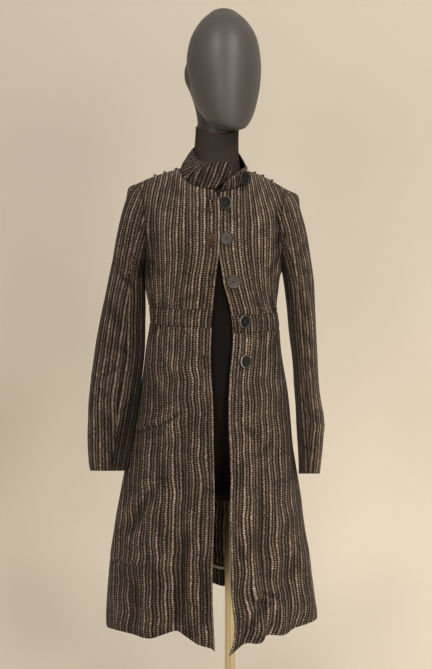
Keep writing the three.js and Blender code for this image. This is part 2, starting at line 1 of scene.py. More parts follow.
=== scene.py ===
import bpy
import math
import numpy as np
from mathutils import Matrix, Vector


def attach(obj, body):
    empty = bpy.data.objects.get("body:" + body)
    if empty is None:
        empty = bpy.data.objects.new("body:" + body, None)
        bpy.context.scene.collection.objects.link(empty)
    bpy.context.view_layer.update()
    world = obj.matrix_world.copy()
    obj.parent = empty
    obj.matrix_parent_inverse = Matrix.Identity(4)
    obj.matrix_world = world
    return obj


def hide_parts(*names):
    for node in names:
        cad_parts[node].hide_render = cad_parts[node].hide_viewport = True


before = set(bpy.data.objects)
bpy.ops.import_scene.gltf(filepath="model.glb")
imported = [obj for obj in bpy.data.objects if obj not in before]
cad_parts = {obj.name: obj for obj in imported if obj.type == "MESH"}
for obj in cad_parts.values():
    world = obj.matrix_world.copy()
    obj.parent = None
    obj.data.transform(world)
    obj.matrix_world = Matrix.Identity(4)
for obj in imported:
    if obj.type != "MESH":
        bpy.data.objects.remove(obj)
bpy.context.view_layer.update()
scene = bpy.context.scene
mm = 0.001  # tables are in millimetres, the meshes in metres

# Outline of the cloth: height, centre x, half width, front depth, back depth
bodyRows = [
    [395, -39.5, 236, 203, 223], [424, -40.5, 234.5, 200, 220], [461, -42.5, 231.5, 196, 217],
    [529, -45, 224, 188, 209], [575, -46, 219, 183, 202], [643, -45, 208, 174, 191],
    [733, -42.5, 192.5, 161, 176], [800, -41, 180, 151, 163], [867, -37.5, 170, 142, 150],
    [933, -36, 161.5, 132, 135], [1000, -36.5, 150.5, 120, 118], [1045, -36, 144.5, 111, 106],
    [1083, -35, 140.5, 106, 98], [1118, -38.5, 139, 106, 95], [1150, -38, 142, 112, 98],
    [1216, -36, 147.5, 124, 106], [1265, -37, 153, 122, 108], [1330, -37, 167, 98, 104],
    [1388, -37, 186, 80, 92], [1440, -37, 195, 70, 84],
]
# Shoulder line: distance from the centre, height on the wearer's right, on the left
shoulderRows = [
    [0, 1434, 1434], [40, 1428, 1427], [69, 1416, 1411], [100, 1407, 1401],
    [125, 1399, 1389], [156, 1387, 1373], [186, 1373, 1354],
]
# Front edges: height, x of the edge
edgeRows = {
    "right": [
        [395, -34], [424, -34], [514, -38], [598, -38], [722, -34], [827, -36], [930, -38],
        [992, -42], [1055, -42], [1118, -38], [1182, -32], [1219, -27], [1265, -23],
        [1348, -25], [1372, -36],
    ],
    "left": [
        [395, -9], [404, -5], [430, 5], [461, 7], [514, 1], [597, -1], [680, -3], [784, -2],
        [889, -6], [972, -4], [1013, 0], [1055, 4], [1097, 2], [1139, -6], [1171, -15],
        [1219, -23], [1267, -28], [1339, -32], [1352, -28], [1372, -18],
    ],
}
# Hem: angle from the middle, height, fold outwards
hemRows = {
    "front": [
        [-90, 415, 0], [-78, 412, 3], [-66, 419, -3], [-54, 428, 4], [-43, 431, 6],
        [-32, 432, 8], [-26, 440, -4], [-20, 446, -18], [-14, 439, -8], [-7, 428, 3],
        [0, 420, 5], [2.5, 410, 4], [8, 404, 4], [13, 415, 2], [18, 424, -6], [25, 426, 5],
        [31, 435, -9], [40, 432, 2], [50, 436, -5], [62, 436, 1], [78, 430, 3], [90, 424, 0],
    ],
    "back": [
        [-90, 415, 0], [-68, 424, 8], [-47, 430, -7], [-26, 434, 8], [-6, 440, -2], [0, 437, -6],
        [6, 429, -5], [13, 430, 0],
        [24, 432, 7], [46, 434, -7], [68, 430, 7], [90, 424, 0],
    ],
}
# Sleeves below the underarm: height, outer x, inner x, half depth, centre y
sleeveRows = {
    "right": [
        [760, -305.8, -225.2, 38, -33], [777, -307, -222, 38, -31], [800, -308, -217.9, 39, -28],
        [844, -309.5, -210, 40, -23], [867, -309.5, -205.8, 41, -21], [911, -310, -199.9, 42, -16],
        [955, -305.5, -193.7, 42, -12], [1000, -298.8, -187, 42.6, -8.7], [1032, -294, -184.8, 43, -6],
        [1087, -284.5, -185.6, 44, -3], [1131, -275.5, -184.6, 45, 0], [1165, -268, -186.2, 46, 2],
    ],
    "left": [
        [755, 194.5, 148.5, 47, -39], [777, 196, 148.5, 48, -36], [800, 198.5, 147.5, 49, -33],
        [822, 200.5, 146, 50, -30], [867, 203.5, 143.5, 52, -25], [911, 197.5, 141, 53, -19],
        [955, 193.5, 138, 54, -14], [1021, 189, 132, 55, -8], [1087, 186, 125.5, 54, -3],
        [1118, 184, 122.5, 52, 0], [1150, 182, 119, 50, 2],
    ],
}
# Start and end of the sleeve head's curves: outwards, forwards, down, end length
sleeveHeads = {
    "right": {"top": [42, 0, -3, 86], "front": [26, 7, 12, 52], "under": [3, 0, 8, 16],
    "back": [26, -7, 12, 52]},
    "left": {"top": [38, 0, 1, 92], "front": [20, 12, 12, 52], "under": [3, 0, 8, 16],
    "back": [20, -12, 12, 52]},
}
# Top edge of the collar: share of the neckline, x, y, height
collarRows = [
    [0, -3, -73, 1426], [0.06, -24, -72, 1427], [0.13, -47, -66, 1426], [0.2, -68, -50, 1432],
    [0.27, -79, -20, 1449], [0.34, -81, 12, 1459], [0.42, -68, 46, 1466], [0.5, -31, 62, 1468],
    [0.58, 2, 50, 1463], [0.66, 18, 22, 1449], [0.73, 26, -10, 1432], [0.8, 31, -42, 1419],
    [0.87, 24, -71, 1413], [0.94, 6, -88, 1399], [1, -13, -95, 1384],
]
# Torso of the form: height, centre x, half width, front depth, back depth
formRows = [
    [690, -3, 30, 24, 24], [693, -6, 52, 36, 40], [704, -16, 90, 62, 68], [728, -26, 124, 88, 96],
    [765, -33, 144, 103, 116], [820, -36, 154, 112, 127], [880, -36, 155, 115, 126],
    [933, -36, 151, 114, 118], [1000, -36.5, 140, 106, 105], [1045, -36, 134, 101, 95],
    [1083, -35.5, 130.5, 97, 88], [1118, -37.5, 129, 97, 85], [1150, -37.5, 132, 102, 88],
    [1216, -36.5, 137, 113, 95], [1265, -37, 139, 110, 96], [1310, -37, 138, 96, 94],
    [1340, -37, 130, 84, 86], [1362, -37, 112, 72, 76], [1382, -36, 88, 60, 66],
    [1398, -35, 65, 52, 57], [1415, -33, 55, 48, 50], [1435, -31.5, 49.5, 45, 47],
    [1460, -30, 47, 44, 45], [1483.6, -28.5, 46.5, 43.5, 44.5],
]
# Face and crown of the head, and the neck behind it: front x, y, z, back x, y, z,
# wearer's right x, y, z, wearer's left x, y, z
faceRows = [
    [4, -70, 1493.8, -6, -44, 1498, -14, -54, 1496.4, 19, -58, 1494.4],
    [0, -86, 1499, -14, -14, 1511, -40, -42, 1506, 33, -42, 1503],
    [-5, -94, 1515, -18, 22, 1536, -62, -26, 1529, 47, -22, 1527],
    [-8, -98, 1545, -20, 60, 1575, -78, -14, 1558, 57, -8, 1562],
    [-9, -100, 1590, -18, 88, 1612, -88, -6, 1596, 63.5, 0, 1600],
    [-11, -96, 1640, -16, 98, 1650, -94.5, 0, 1642, 64.5, 3, 1640],
    [-13, -80, 1690, -16, 87, 1695, -86, 6, 1690, 56, 5, 1690],
    [-14, -55, 1726, -16, 63, 1729, -65, 6, 1726, 35, 6, 1726],
    [-15, -26, 1747, -16, 36, 1748, -41, 6, 1747, 10, 6, 1747],
]
neckRows = [
    [-28.5, -40, 1484.4, -28.5, 44, 1484.4, -73.5, 3, 1484.4, 16.5, 3, 1484.4],
    [-27, -41, 1499, -28, 47, 1501, -73, 3, 1499, 17, 3, 1499],
    [-26, -42, 1514, -27, 56, 1522, -71.5, 5, 1514, 19, 4, 1512],
    [-24, -45, 1542, -24, 70, 1548, -76, 12, 1542, 30, 8, 1536],
    [-24, -50, 1574, -20, 83, 1580, -86, 20, 1574, 43, 14, 1568],
    [-24, -50, 1604, -18, 86, 1608, -98.5, 24, 1604, 52, 16, 1600],
    [-20, -50, 1632, -16, 82, 1640, -97, 22, 1634, 52, 14, 1636],
    [-20, -44, 1660, -16, 70, 1664, -78, 16, 1660, 42, 10, 1660],
]
headTop = [-16, 5, 1754]

dress = {
    "sideSeamY": 4.0, "halfSeam": 0.2, "bandHeight": 37.0, "bandTopRight": 1118.5,
    "bandTopLeft": 1106.0, "shoulderRoll": 95.0, "shoulderReach": 186.0, "armholeTopAngle": 57.0,
    "underarmLevel": 0.395, "necklineLevel": 0.8, "neckHalf": 69.0, "backNeckDrop": 0.08,
    "frontLap": 2.4, "cuffSlope": 0.21, "thickness": 1.5,
}


def between(rows, key):
    # cubic through the rows whose slopes come from the rows on either side, one array a column
    table = np.array(rows, float)
    key = np.asarray(key, float)
    last = len(table) - 1
    k = np.searchsorted(table[1:-1, 0], key, side="left")
    a, b = table[k], table[k + 1]
    before, after = table[np.maximum(k - 1, 0)], table[np.minimum(k + 2, last)]
    span = (b - a)[..., :1]
    t = np.clip((key[..., None] - a[..., :1]) / span, 0, 1)
    startSlope = (b - before) / (b - before)[..., :1] * span
    endSlope = (after - a) / (after - a)[..., :1] * span
    rise = b - a
    c2 = 3 * rise - 2 * startSlope - endSlope
    c3 = startSlope + endSlope - 2 * rise
    value = a + t * (startSlope + t * (c2 + t * c3))
    return np.moveaxis(value[..., 1:], -1, 0)


def lerp(a, b, t):
    return a + (b - a) * t


def ease(low, high, value):
    t = np.clip((value - low) / (high - low), 0, 1)
    return t * t * (3 - 2 * t)


def softNoise(a, b, seed, waves=9):
    # sum of sine waves in fixed random directions, about -1 to 1
    draw = np.random.default_rng(seed)
    total = np.zeros(np.broadcast(a, b).shape)
    for _ in range(waves):
        turn, phase, size = draw.uniform(0, math.tau), draw.uniform(0, math.tau), draw.uniform(0.6, 1.7)
        total += np.sin((a * math.cos(turn) + b * math.sin(turn)) * size * math.tau + phase)
    return total / math.sqrt(waves)


def denseEnds(low, high, count, near=(0.0006, 0.0022, 0.006, 0.012)):
    # even steps with a few close lines at both ends, for rounded cloth edges
    inner = np.linspace(near[-1], 1 - near[-1], count)
    share = np.concatenate([[0], near[:-1], inner, 1 - np.array(near[:-1])[::-1], [1]])
    return low + (high - low) * share


def running(points, axis):
    # length along the grid lines from the first one
    steps = np.linalg.norm(np.diff(points, axis=axis), axis=-1)
    zero = np.zeros_like(np.take(steps, [0], axis=axis))
    return np.concatenate([zero, np.cumsum(steps, axis=axis)], axis=axis)


def edgeDistances(points):
    # of each point from the grid's four edges: first and last column, first and last row
    a, b = running(points, 1), running(points, 0)
    return a, a[:, -1:] - a, b, b[-1:, :] - b


def nearest(*distances):
    return np.minimum.reduce(distances)


def unit(vectors):
    return vectors / np.linalg.norm(vectors, axis=-1, keepdims=True)


def squaredDistances(a, b):
    # of every point of a from every point of b: a * a + b * b - 2 * a * b
    return (a ** 2).sum(1)[:, None] + (b ** 2).sum(1)[None] - 2 * a @ b.T


def gridNormals(points, inside):
    # cross product of the two grid directions, turned away from the inside
    across = np.gradient(points, axis=1)
    along = np.gradient(points, axis=0)
    normal = np.cross(across, along)
    normal /= np.maximum(np.linalg.norm(normal, axis=-1, keepdims=True), 1e-9)
    away = np.einsum("ijk,ijk->ij", normal, points - inside)
    return (normal, True) if np.median(away) > 0 else (-normal, False)


def makeMesh(name, vertices, faces, uv=None, shade=None):
    # vertices and uv in mm; shade is the attribute of painted shade and light that darkens or lightens a
    # material
    faces = faces.tolist() if isinstance(faces, np.ndarray) else faces
    mesh = bpy.data.meshes.new(name)
    mesh.from_pydata((np.asarray(vertices, float) * mm).tolist(), [], faces)
    mesh.validate()
    if uv is not None:
        layer = mesh.uv_layers.new(name="cloth")
        corners = np.zeros(len(mesh.loops), np.int32)
        mesh.loops.foreach_get("vertex_index", corners)
        layer.data.foreach_set("uv", (np.asarray(uv, float)[corners] * mm).astype(np.float32).ravel())
    if shade is not None:
        tones = mesh.attributes.new("shade", "FLOAT", "POINT")
        tones.data.foreach_set("value", np.asarray(shade, np.float32).ravel())
    mesh.polygons.foreach_set("use_smooth", np.full(len(mesh.polygons), True))
    mesh.update()
    made = bpy.data.objects.new(name, mesh)
    scene.collection.objects.link(made)
    return made


def dressPiece(piece, material, nodes=()):
    piece.data.materials.append(material)
    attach(piece, "root")
    if nodes:
        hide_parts(*nodes)
    return piece


def quads(index, wrap=False):
    # faces of a grid of vertex numbers, joined round from the last column to the first when wrap is set
    if wrap:
        index = np.concatenate([index, index[:, :1]], axis=1)
    return np.stack([index[:-1, :-1], index[:-1, 1:], index[1:, 1:], index[1:, :-1]], -1).reshape(-1, 4)


reliefs = {}  # each cloth piece's grid and its height over it, for what is sewn on


shadeValues = {  # step of the grid and depth that darken a trough, limits, limits at the border, inner face
    "step": 6, "strength": 0.40, "steepness": 1.1, "limits": (0.5, 1.3), "border": (0.6, 1.05), "inner": 0.62,
}


def clothShell(name, points, uv, inside, relief, under=0.0, thickness=dress["thickness"], shade=1.0):
    # outer face: base point + normal * relief; inner face: one thickness inside; the two meet
    # in a round edge on the border, so the wall is closed
    reliefs[name] = (points.reshape(-1, 3), relief.ravel())
    normal, outwards = gridNormals(points, inside)
    full = np.sqrt(1 - (1 - np.clip(nearest(*edgeDistances(points)) / thickness, 0, 1)) ** 2)
    half = 0.5 * thickness
    outer = points + normal * (relief - half * (1 - full))[..., None]
    inner = points + normal * (relief - thickness + half * (1 - full) - under * full)[..., None]
    rows, columns = points.shape[:2]
    outerIndex = np.arange(rows * columns).reshape(rows, columns)
    innerIndex = outerIndex.copy()
    innerIndex[1:-1, 1:-1] = rows * columns + np.arange((rows - 2) * (columns - 2)).reshape(rows - 2, -1)
    vertices = np.concatenate([outer.reshape(-1, 3), inner[1:-1, 1:-1].reshape(-1, 3)])
    uvAll = np.concatenate([uv.reshape(-1, 2), uv[1:-1, 1:-1].reshape(-1, 2)])
    # painted shade: the cloth is darker where it is sunk below the cloth around it and along seams, and its
    # inner face darker still
    v = shadeValues
    step, rim = v["step"], v["step"] + 1
    around = [np.roll(relief, by, axis) for axis in (1, 0) for by in (step, -step)]
    sunk = relief - (around[0] + around[1] + around[2] + around[3]) / 4
    tone = np.clip(1 + v["strength"] * np.tanh(sunk * v["steepness"]), *v["limits"])
    for border in (tone[:rim], tone[-rim:], tone[:, :rim], tone[:, -rim:]):
        np.clip(border, *v["border"], out=border)
    tone = tone * shade
    toneAll = np.concatenate([tone.ravel(), tone[1:-1, 1:-1].ravel() * v["inner"]])
    outerFaces, innerFaces = quads(outerIndex), quads(innerIndex)
    if outwards:
        innerFaces = innerFaces[:, ::-1]
    else:
        outerFaces = outerFaces[:, ::-1]
    return makeMesh(name, vertices, np.concatenate([outerFaces, innerFaces]), uvAll, toneAll)


def reliefAt(name, place):
    # height of the cloth over its plain form, from the four nearest points of its grid
    points, relief = reliefs[name]
    flat = np.asarray(place, float).reshape(-1, 3)
    squared = squaredDistances(flat, points)
    four = np.argpartition(squared, 4, axis=1)[:, :4]
    weight = 1 / (np.abs(np.take_along_axis(squared, four, 1)) + 1)
    found = (relief[four] * weight).sum(1) / weight.sum(1)
    return found.reshape(np.shape(place)[:-1])


def creaseRelief(x, z, rows):
    # soft ridge (+) or trough (-) along straight lines: x1, z1, x2, z2, width, height
    total = np.zeros(x.shape)
    for x1, z1, x2, z2, width, height in rows:
        dx, dz = x2 - x1, z2 - z1
        length = math.hypot(dx, dz)
        t = ((x - x1) * dx + (z - z1) * dz) / length ** 2
        held = np.clip(t, 0, 1)
        away = np.hypot(x - x1 - held * dx, z - z1 - held * dz)
        fade = np.clip(np.sin(np.pi * np.clip(0.12 + 0.76 * held, 0, 1)) * 1.15, 0, 1)
        total += height * fade * np.exp(-(away / width) ** 2)
    return total


def creaseShift(x, z, rows):
    # sideways shift of the stripes beside a crease, opposite on its two sides:
    # height * offset / width * exp(-(offset / 1.6 widths) ** 2)
    total = np.zeros(x.shape)
    for x1, z1, x2, z2, width, height in rows:
        dx, dz = x2 - x1, z2 - z1
        length = math.hypot(dx, dz)
        t = ((x - x1) * dx + (z - z1) * dz) / length ** 2
        offset = ((x - x1) * dz - (z - z1) * dx) / length / width
        within = ease(-0.15, 0.15, t) * (1 - ease(0.85, 1.15, t))
        total += 0.6 * abs(height) * offset * np.exp(-(offset / 1.6) ** 2) * within
    return total


seamValues = {"depth": 0.45, "width": 2.2, "stitchDepth": 0.25, "double": 0.9}


def seamGroove(*distances):
    # depth * exp(-(distance / width) ** 2) below the cloth, for each seam
    return sum(-seamValues["depth"] * np.exp(-(each / seamValues["width"]) ** 2) for each in distances)


def bandTop(piece, angle):
    # height of the band's top edge: level on each front, slanting from one to the other behind
    if piece == "right":
        return np.full(np.shape(angle), dress["bandTopRight"])
    if piece == "left":
        return np.full(np.shape(angle), dress["bandTopLeft"])
    return lerp(dress["bandTopRight"], dress["bandTopLeft"], (np.sin(angle) + 1) / 2)


def shoulderHeight(u):
    # height of the shoulder line at the reach u from the middle
    right, left = between(shoulderRows, np.abs(u))
    return np.where(u < 0, right, left)


lapValues = {"fromEdge": (4, 34), "low": (1200, 1232), "high": (1352, 1368)}


def lapLift(piece, x, z):
    # where the right front lies over the left one: near the edge, between the chest and the collar
    near = 1 - ease(*lapValues["fromEdge"], np.abs(x - between(edgeRows[piece], z)[0]))
    within = ease(*lapValues["low"], z) * (1 - ease(*lapValues["high"], z))
    return (-1 if piece == "right" else 1) * dress["frontLap"] * near * within


def bodicePoint(piece, angle, share):
    # u is the reach from the middle; z runs from the band to the shoulder line; the depth
    # closes as a quarter circle over the last stretch below the shoulder
    u = dress["shoulderReach"] * np.sin(angle)
    low = bandTop(piece, angle) + dress["halfSeam"]
    high = shoulderHeight(u)
    z = low + (high - low) * share
    centre, half, front, back = between(bodyRows, z)
    roll = np.clip((high - z) / dress["shoulderRoll"], 0, 1)
    full = np.sqrt(1 - (1 - roll) ** 2)
    x = centre + half * np.sin(angle)
    side, gap = dress["sideSeamY"], dress["halfSeam"]
    if piece == "back":
        y = side + gap + (back - side) * np.cos(angle) * full
    else:
        y = side - gap - (front + side) * np.cos(angle) * full + lapLift(piece, x, z)
    return np.stack([x, y, z], -1)


def armholeAngle(share):
    # 90 degrees up to the underarm, then in towards the shoulder with the root of the rise
    level = dress["underarmLevel"]
    rise = np.clip((share - level) / (1 - level), 0, 1)
    return np.radians(90 - (90 - dress["armholeTopAngle"]) * np.sqrt(rise))


def ringEdgeAngle(piece, z):
    centre, half = between(bodyRows, z)[:2]
    return np.arcsin((between(edgeRows[piece], z)[0] - centre) / half)


def edgeAngle(piece, share):
    # the front edge up to the neckline's level, then a quarter circle out to the neck's width
    side = -1 if piece == "right" else 1
    level = dress["necklineLevel"]
    start = bandTop(piece, 0.0)
    z = start + (shoulderHeight(np.float64(0)) - start) * np.minimum(share, level)
    edge = ringEdgeAngle(piece, z)
    rise = np.clip((share - level) / (1 - level), 0, 1)
    reach = dress["shoulderReach"]
    bend = np.sqrt(1 - (1 - rise) ** 2)
    neck = np.arcsin(lerp(reach * np.sin(edge), side * dress["neckHalf"], bend) / reach)
    return np.where(share <= level, edge, neck)


def bodiceBackPoint(s, share):
    # from armhole to armhole; the top edge sinks as a half circle between the neck's sides
    reach = armholeAngle(share)
    angle = -reach + 2 * reach * s
    u = dress["shoulderReach"] * np.sin(angle)
    hollow = np.sqrt(np.maximum(0, 1 - (u / dress["neckHalf"]) ** 2))
    return bodicePoint("back", angle, share * (1 - dress["backNeckDrop"] * hollow))


def ringPoint(piece, angle, z, fold):
    # half ellipse round the body: x = half * sin(angle), y = depth * cos(angle), both grown by fold
    centre, half, front, back = between(bodyRows, z)
    x = centre + (half + fold) * np.sin(angle)
    side, gap = dress["sideSeamY"], dress["halfSeam"]
    if piece == "back":
        return np.stack([x, side + gap + (back + fold - side) * np.cos(angle), z], -1)
    return np.stack([x, side - gap - (front + fold + side) * np.cos(angle), z], -1)


def bandPoint(piece, s, share):
    # s runs from the front edge to the side seam, or round the back; share runs down the band
    side = -1 if piece == "right" else 1
    if piece == "back":
        angle = (s - 0.5) * np.pi
    else:
        z = bandTop(piece, 0.0) - dress["bandHeight"] * share
        angle = lerp(ringEdgeAngle(piece, z), side * np.pi / 2, s)
    top = bandTop(piece, angle) - dress["halfSeam"]
    z = top + (2 * dress["halfSeam"] - dress["bandHeight"]) * share
    return ringPoint(piece, angle, z, 0.0)


hemTips = {"right": 416, "left": 404}  # height of the hem at the front edge


def skirtPoint(piece, s, share):
    # s as on the band; share runs from the band to the hem, where the folds stand out most
    side = -1 if piece == "right" else 1
    if piece == "back":
        angle = (s - 0.5) * np.pi
    else:
        start = bandTop(piece, 0.0) - dress["bandHeight"]
        edge = ringEdgeAngle(piece, lerp(start, hemTips[piece], share))
        angle = lerp(edge, side * np.pi / 2, s)
    top = bandTop(piece, angle) - dress["bandHeight"] - dress["halfSeam"]
    hem, fold = between(hemRows["back" if piece == "back" else "front"], np.degrees(angle))
    return ringPoint(piece, angle, lerp(top, hem, share), fold * share ** 1.7)


def aroundRing(theta, top, front, under, back):
    # one value round a ring from its four sides: mean + first and second waves of theta
    mean = (top + front + under + back) / 4
    oval = (top + under - front - back) / 4
    waves = (top - under) / 2 * np.cos(theta), (front - back) / 2 * np.sin(theta)
    return mean + waves[0] + waves[1] + oval * np.cos(2 * theta)


# shares of the bodice's height at which the armhole is drawn, closer together at the shoulder
armholeShares = np.array(
    [dress["underarmLevel"], 0.425, 0.475, 0.54, 0.61, 0.69, dress["necklineLevel"]]
    + [1 - (1 - dress["necklineLevel"]) * (1 - k / 6) ** 2 for k in range(1, 7)]
)


def armholePoint(piece, theta):
    # once round the armhole: down the front's edge of it and up the back's
    side = -1 if piece == "right" else 1
    turn = np.mod(theta / math.tau, 1)
    backHalf = turn > 0.5
    steps = np.where(backHalf, 1 - turn, turn) * 2 * (len(armholeShares) - 1)
    k = np.minimum(len(armholeShares) - 2, np.floor(steps).astype(int))
    fromTop = len(armholeShares) - 1 - k
    share = lerp(armholeShares[fromTop], armholeShares[fromTop - 1], steps - k)
    angle = side * armholeAngle(share)
    back, front = bodicePoint("back", angle, share), bodicePoint(piece, angle, share)
    return np.where(backHalf[..., None], back, front) + np.array([side * -0.8, 0, 0])


def hangingPoint(piece, theta, down):
    # level ellipses below the underarm, sloped forwards and up towards the cuff
    side = -1 if piece == "right" else 1
    rows = sleeveRows[piece]
    z = lerp(rows[-1][0], rows[0][0], down)
    outerX, innerX, depth, centreY = between(rows, z)
    forward = depth * np.sin(theta)
    x = (outerX + innerX) / 2 + side * np.abs(outerX - innerX) / 2 * np.cos(theta)
    return np.stack([x, centreY - forward, z + dress["cuffSlope"] * forward * ease(0.2, 1, down)], -1)


shoulderCorners = {"right": [-221.5, 1374.0], "left": [146.5, 1356.0]}  # x, height
cornerValues = {"spread": 0.085, "flatAt": 0.35, "flatSpread": 0.07, "flatDepth": 1.6}


def shoulderBump(piece, curve, theta, t):
    # squares the shoulder: the outer line of the sleeve head is drawn out to the shoulder's corner
    corner = shoulderCorners[piece]
    steps = np.linspace(0, 0.8, 161)
    line = sleeveCurve(piece, np.zeros_like(steps), steps)
    away = np.hypot(line[:, 0] - corner[0], line[:, 2] - corner[1])
    k = away.argmin()
    push = np.array([corner[0] - line[k, 0], 0, corner[1] - line[k, 2]])
    v, upper = cornerValues, np.clip(np.cos(theta), 0, 1)
    share = np.exp(-np.abs((t - steps[k]) / v["spread"]) ** 2.2) * upper ** 2.5
    flat = np.exp(-((t - steps[k] * v["flatAt"]) / v["flatSpread"]) ** 2) * upper ** 2
    return curve + share[..., None] * push - flat[..., None] * np.array([0, 0, v["flatDepth"]])


def sleevePoint(piece, theta, along):
    # along 0 to 1: the sleeve head; 1 to 2: the hanging sleeve down to the cuff
    held = np.minimum(along, 1)
    upper = shoulderBump(piece, sleeveCurve(piece, theta, held), theta, held)
    lower = hangingPoint(piece, theta, np.clip(along - 1, 0, 1))
    return np.where(along[..., None] > 1, lower, upper)


def sleeveCurve(piece, theta, along):
    # a cubic curve from the armhole to the first level ring, then ring by ring to the cuff
    side = -1 if piece == "right" else 1
    head = sleeveHeads[piece]
    sides = zip(head["top"], head["front"], head["under"], head["back"])
    out, forward, fall, length = [aroundRing(theta, *values) for values in sides]
    p0 = armholePoint(piece, theta)
    p1 = p0 + np.stack([side * out, -forward, -fall], -1)
    p3 = hangingPoint(piece, theta, np.zeros_like(theta))
    slope = hangingPoint(piece, theta, np.full_like(theta, 0.01)) - p3
    p2 = p3 + slope * (length / slope[..., 2])[..., None]
    t = np.minimum(along, 1)[..., None]
    keep = 1 - t
    return p0 * keep ** 3 + p1 * 3 * keep ** 2 * t + p2 * 3 * keep * t ** 2 + p3 * t ** 3


def addNode(tree, kind, inputs=None, **settings):
    # a node with its settings, each input either linked or given its value
    node = tree.nodes.new(kind)
    for key, value in settings.items():
        setattr(node, key, value)
    for key, value in (inputs or {}).items():
        if isinstance(value, bpy.types.NodeSocket):
            tree.links.new(value, node.inputs[key])
        else:
            node.inputs[key].default_value = value
    return node


def sums(tree, operation, a, b=0.0, c=0.0):
    return addNode(tree, "ShaderNodeMath", {0: a, 1: b, 2: c}, operation=operation).outputs[0]


def mixed(tree, factor, a, b, blend="MIX"):
    node = addNode(tree, "ShaderNodeMix", {0: factor, 6: a, 7: b}, data_type="RGBA", blend_type=blend)
    return node.outputs[2]


def lerpSocket(tree, factor, a, b):
    return addNode(tree, "ShaderNodeMix", {0: factor, 2: a, 3: b}, data_type="FLOAT").outputs[0]


def noiseAt(tree, place, scale, detail, **more):
    inputs = {"Vector": place, "Scale": scale, "Detail": detail}
    inputs.update({key.capitalize(): value for key, value in more.items()})
    return addNode(tree, "ShaderNodeTexNoise", inputs).outputs[0]


def scaledBy(tree, place, factors):
    return addNode(tree, "ShaderNodeVectorMath", {0: place, 1: factors}, operation="MULTIPLY").outputs[0]


def timesTone(tree, colour, tone):
    # colour * tone, channel by channel
    grey = addNode(tree, "ShaderNodeCombineXYZ", {0: tone, 1: tone, 2: tone})
    return mixed(tree, 1.0, colour, grey.outputs[0], "MULTIPLY")


def timesShade(tree, colour):
    # colour * the shade that the piece's mesh carries
    return timesTone(tree, colour, addNode(tree, "ShaderNodeAttribute",
        attribute_name="shade").outputs["Fac"])


def ranged(tree, value, low, high, toLow=0.0, toHigh=1.0):
    inputs = {0: value, 1: low, 2: high, 3: toLow, 4: toHigh}
    return addNode(tree, "ShaderNodeMapRange", inputs, interpolation_type="SMOOTHSTEP").outputs[0]


def newGroup(name, inputs, outputs):
    tree = bpy.data.node_groups.new(name, "ShaderNodeTree")
    for label, kind, value in inputs:
        socket = tree.interface.new_socket(label, in_out="INPUT", socket_type=kind)
        if value is not None:
            socket.default_value = value
    for label, kind in outputs:
        tree.interface.new_socket(label, in_out="OUTPUT", socket_type=kind)
    return tree, tree.nodes.new("NodeGroupInput"), tree.nodes.new("NodeGroupOutput")


def placeGroup(tree, group, inputs):
    return addNode(tree, "ShaderNodeGroup", inputs, node_tree=group)


def newMaterial(name, settings):
    made = bpy.data.materials.new(name)
    made.use_nodes = True
    tree = made.node_tree
    shader = tree.nodes["Principled BSDF"]
    for key, value in settings.items():
        shader.inputs[key].default_value = value
    return made, tree, shader


def unevenToneGroup():
    # slow change of tone over the piece: 1 + amount * noise
    tree, start, end = newGroup(
        "unevenTone",
        [("Place", "NodeSocketVector", None), ("Scale", "NodeSocketFloat", 8.0),
        ("Amount", "NodeSocketFloat", 0.1)],
        [("Tone", "NodeSocketFloat")],
    )
    noise = noiseAt(tree, start.outputs["Place"], start.outputs["Scale"], 3.0)
    centred = sums(tree, "SUBTRACT", noise, 0.5)
    tone = sums(tree, "MULTIPLY_ADD", centred, sums(tree, "MULTIPLY", start.outputs["Amount"], 3.0), 1.0)
    tree.links.new(tone, end.inputs["Tone"])
    return tree


def fineWeaveGroup():
    # plain weave: threads over and under, 0.5 + 0.5 * sin(x + y) * sin(z)
    tree, start, end = newGroup(
        "fineWeave",
        [("Place", "NodeSocketVector", None), ("Threads", "NodeSocketFloat", 1200.0)],
        [("Height", "NodeSocketFloat")],
    )
    scaled = addNode(tree, "ShaderNodeVectorMath", {0: start.outputs["Place"]}, operation="SCALE")
    tree.links.new(start.outputs["Threads"], scaled.inputs["Scale"])
    parts = addNode(tree, "ShaderNodeSeparateXYZ", {0: scaled.outputs[0]})
    flat = sums(tree, "ADD", parts.outputs[0], parts.outputs[1])
    waveA = sums(tree, "SINE", sums(tree, "MULTIPLY", flat, math.pi))
    waveB = sums(tree, "SINE", sums(tree, "MULTIPLY", parts.outputs[2], math.pi))
    over = sums(tree, "MULTIPLY", waveA, waveB)
    tree.links.new(sums(tree, "MULTIPLY_ADD", over, 0.5, 0.5), end.inputs["Height"])
    return tree


weave = {
    "repeat": 15.0,          # mm from one wide stripe to the next
    "chainLength": 5.0,      # mm of one link of the wide stripe's chain
    "dashLength": 4.9,       # mm of one dash of the narrow stripe
    "wideCentre": 0.27, "wideHalf": 0.150,
    "narrowCentre": 0.73, "narrowHalf": 0.145,
    "ground": (0.0130, 0.0077, 0.0053, 1),
    "wide": (0.305, 0.252, 0.206, 1),
    "wideDark": (0.060, 0.043, 0.031, 1),
    "narrow": (0.152, 0.112, 0.083, 1),
    "narrowDark": (0.034, 0.0215, 0.0148, 1),
    "wobble": 0.0052,        # m, how far a stripe strays sideways
    "relief": 0.0006,        # m
    "fibres": (1300.0, 620.0, 0.0), "slubs": (420.0, 300.0, 0.0),  # to the metre, across and along
}


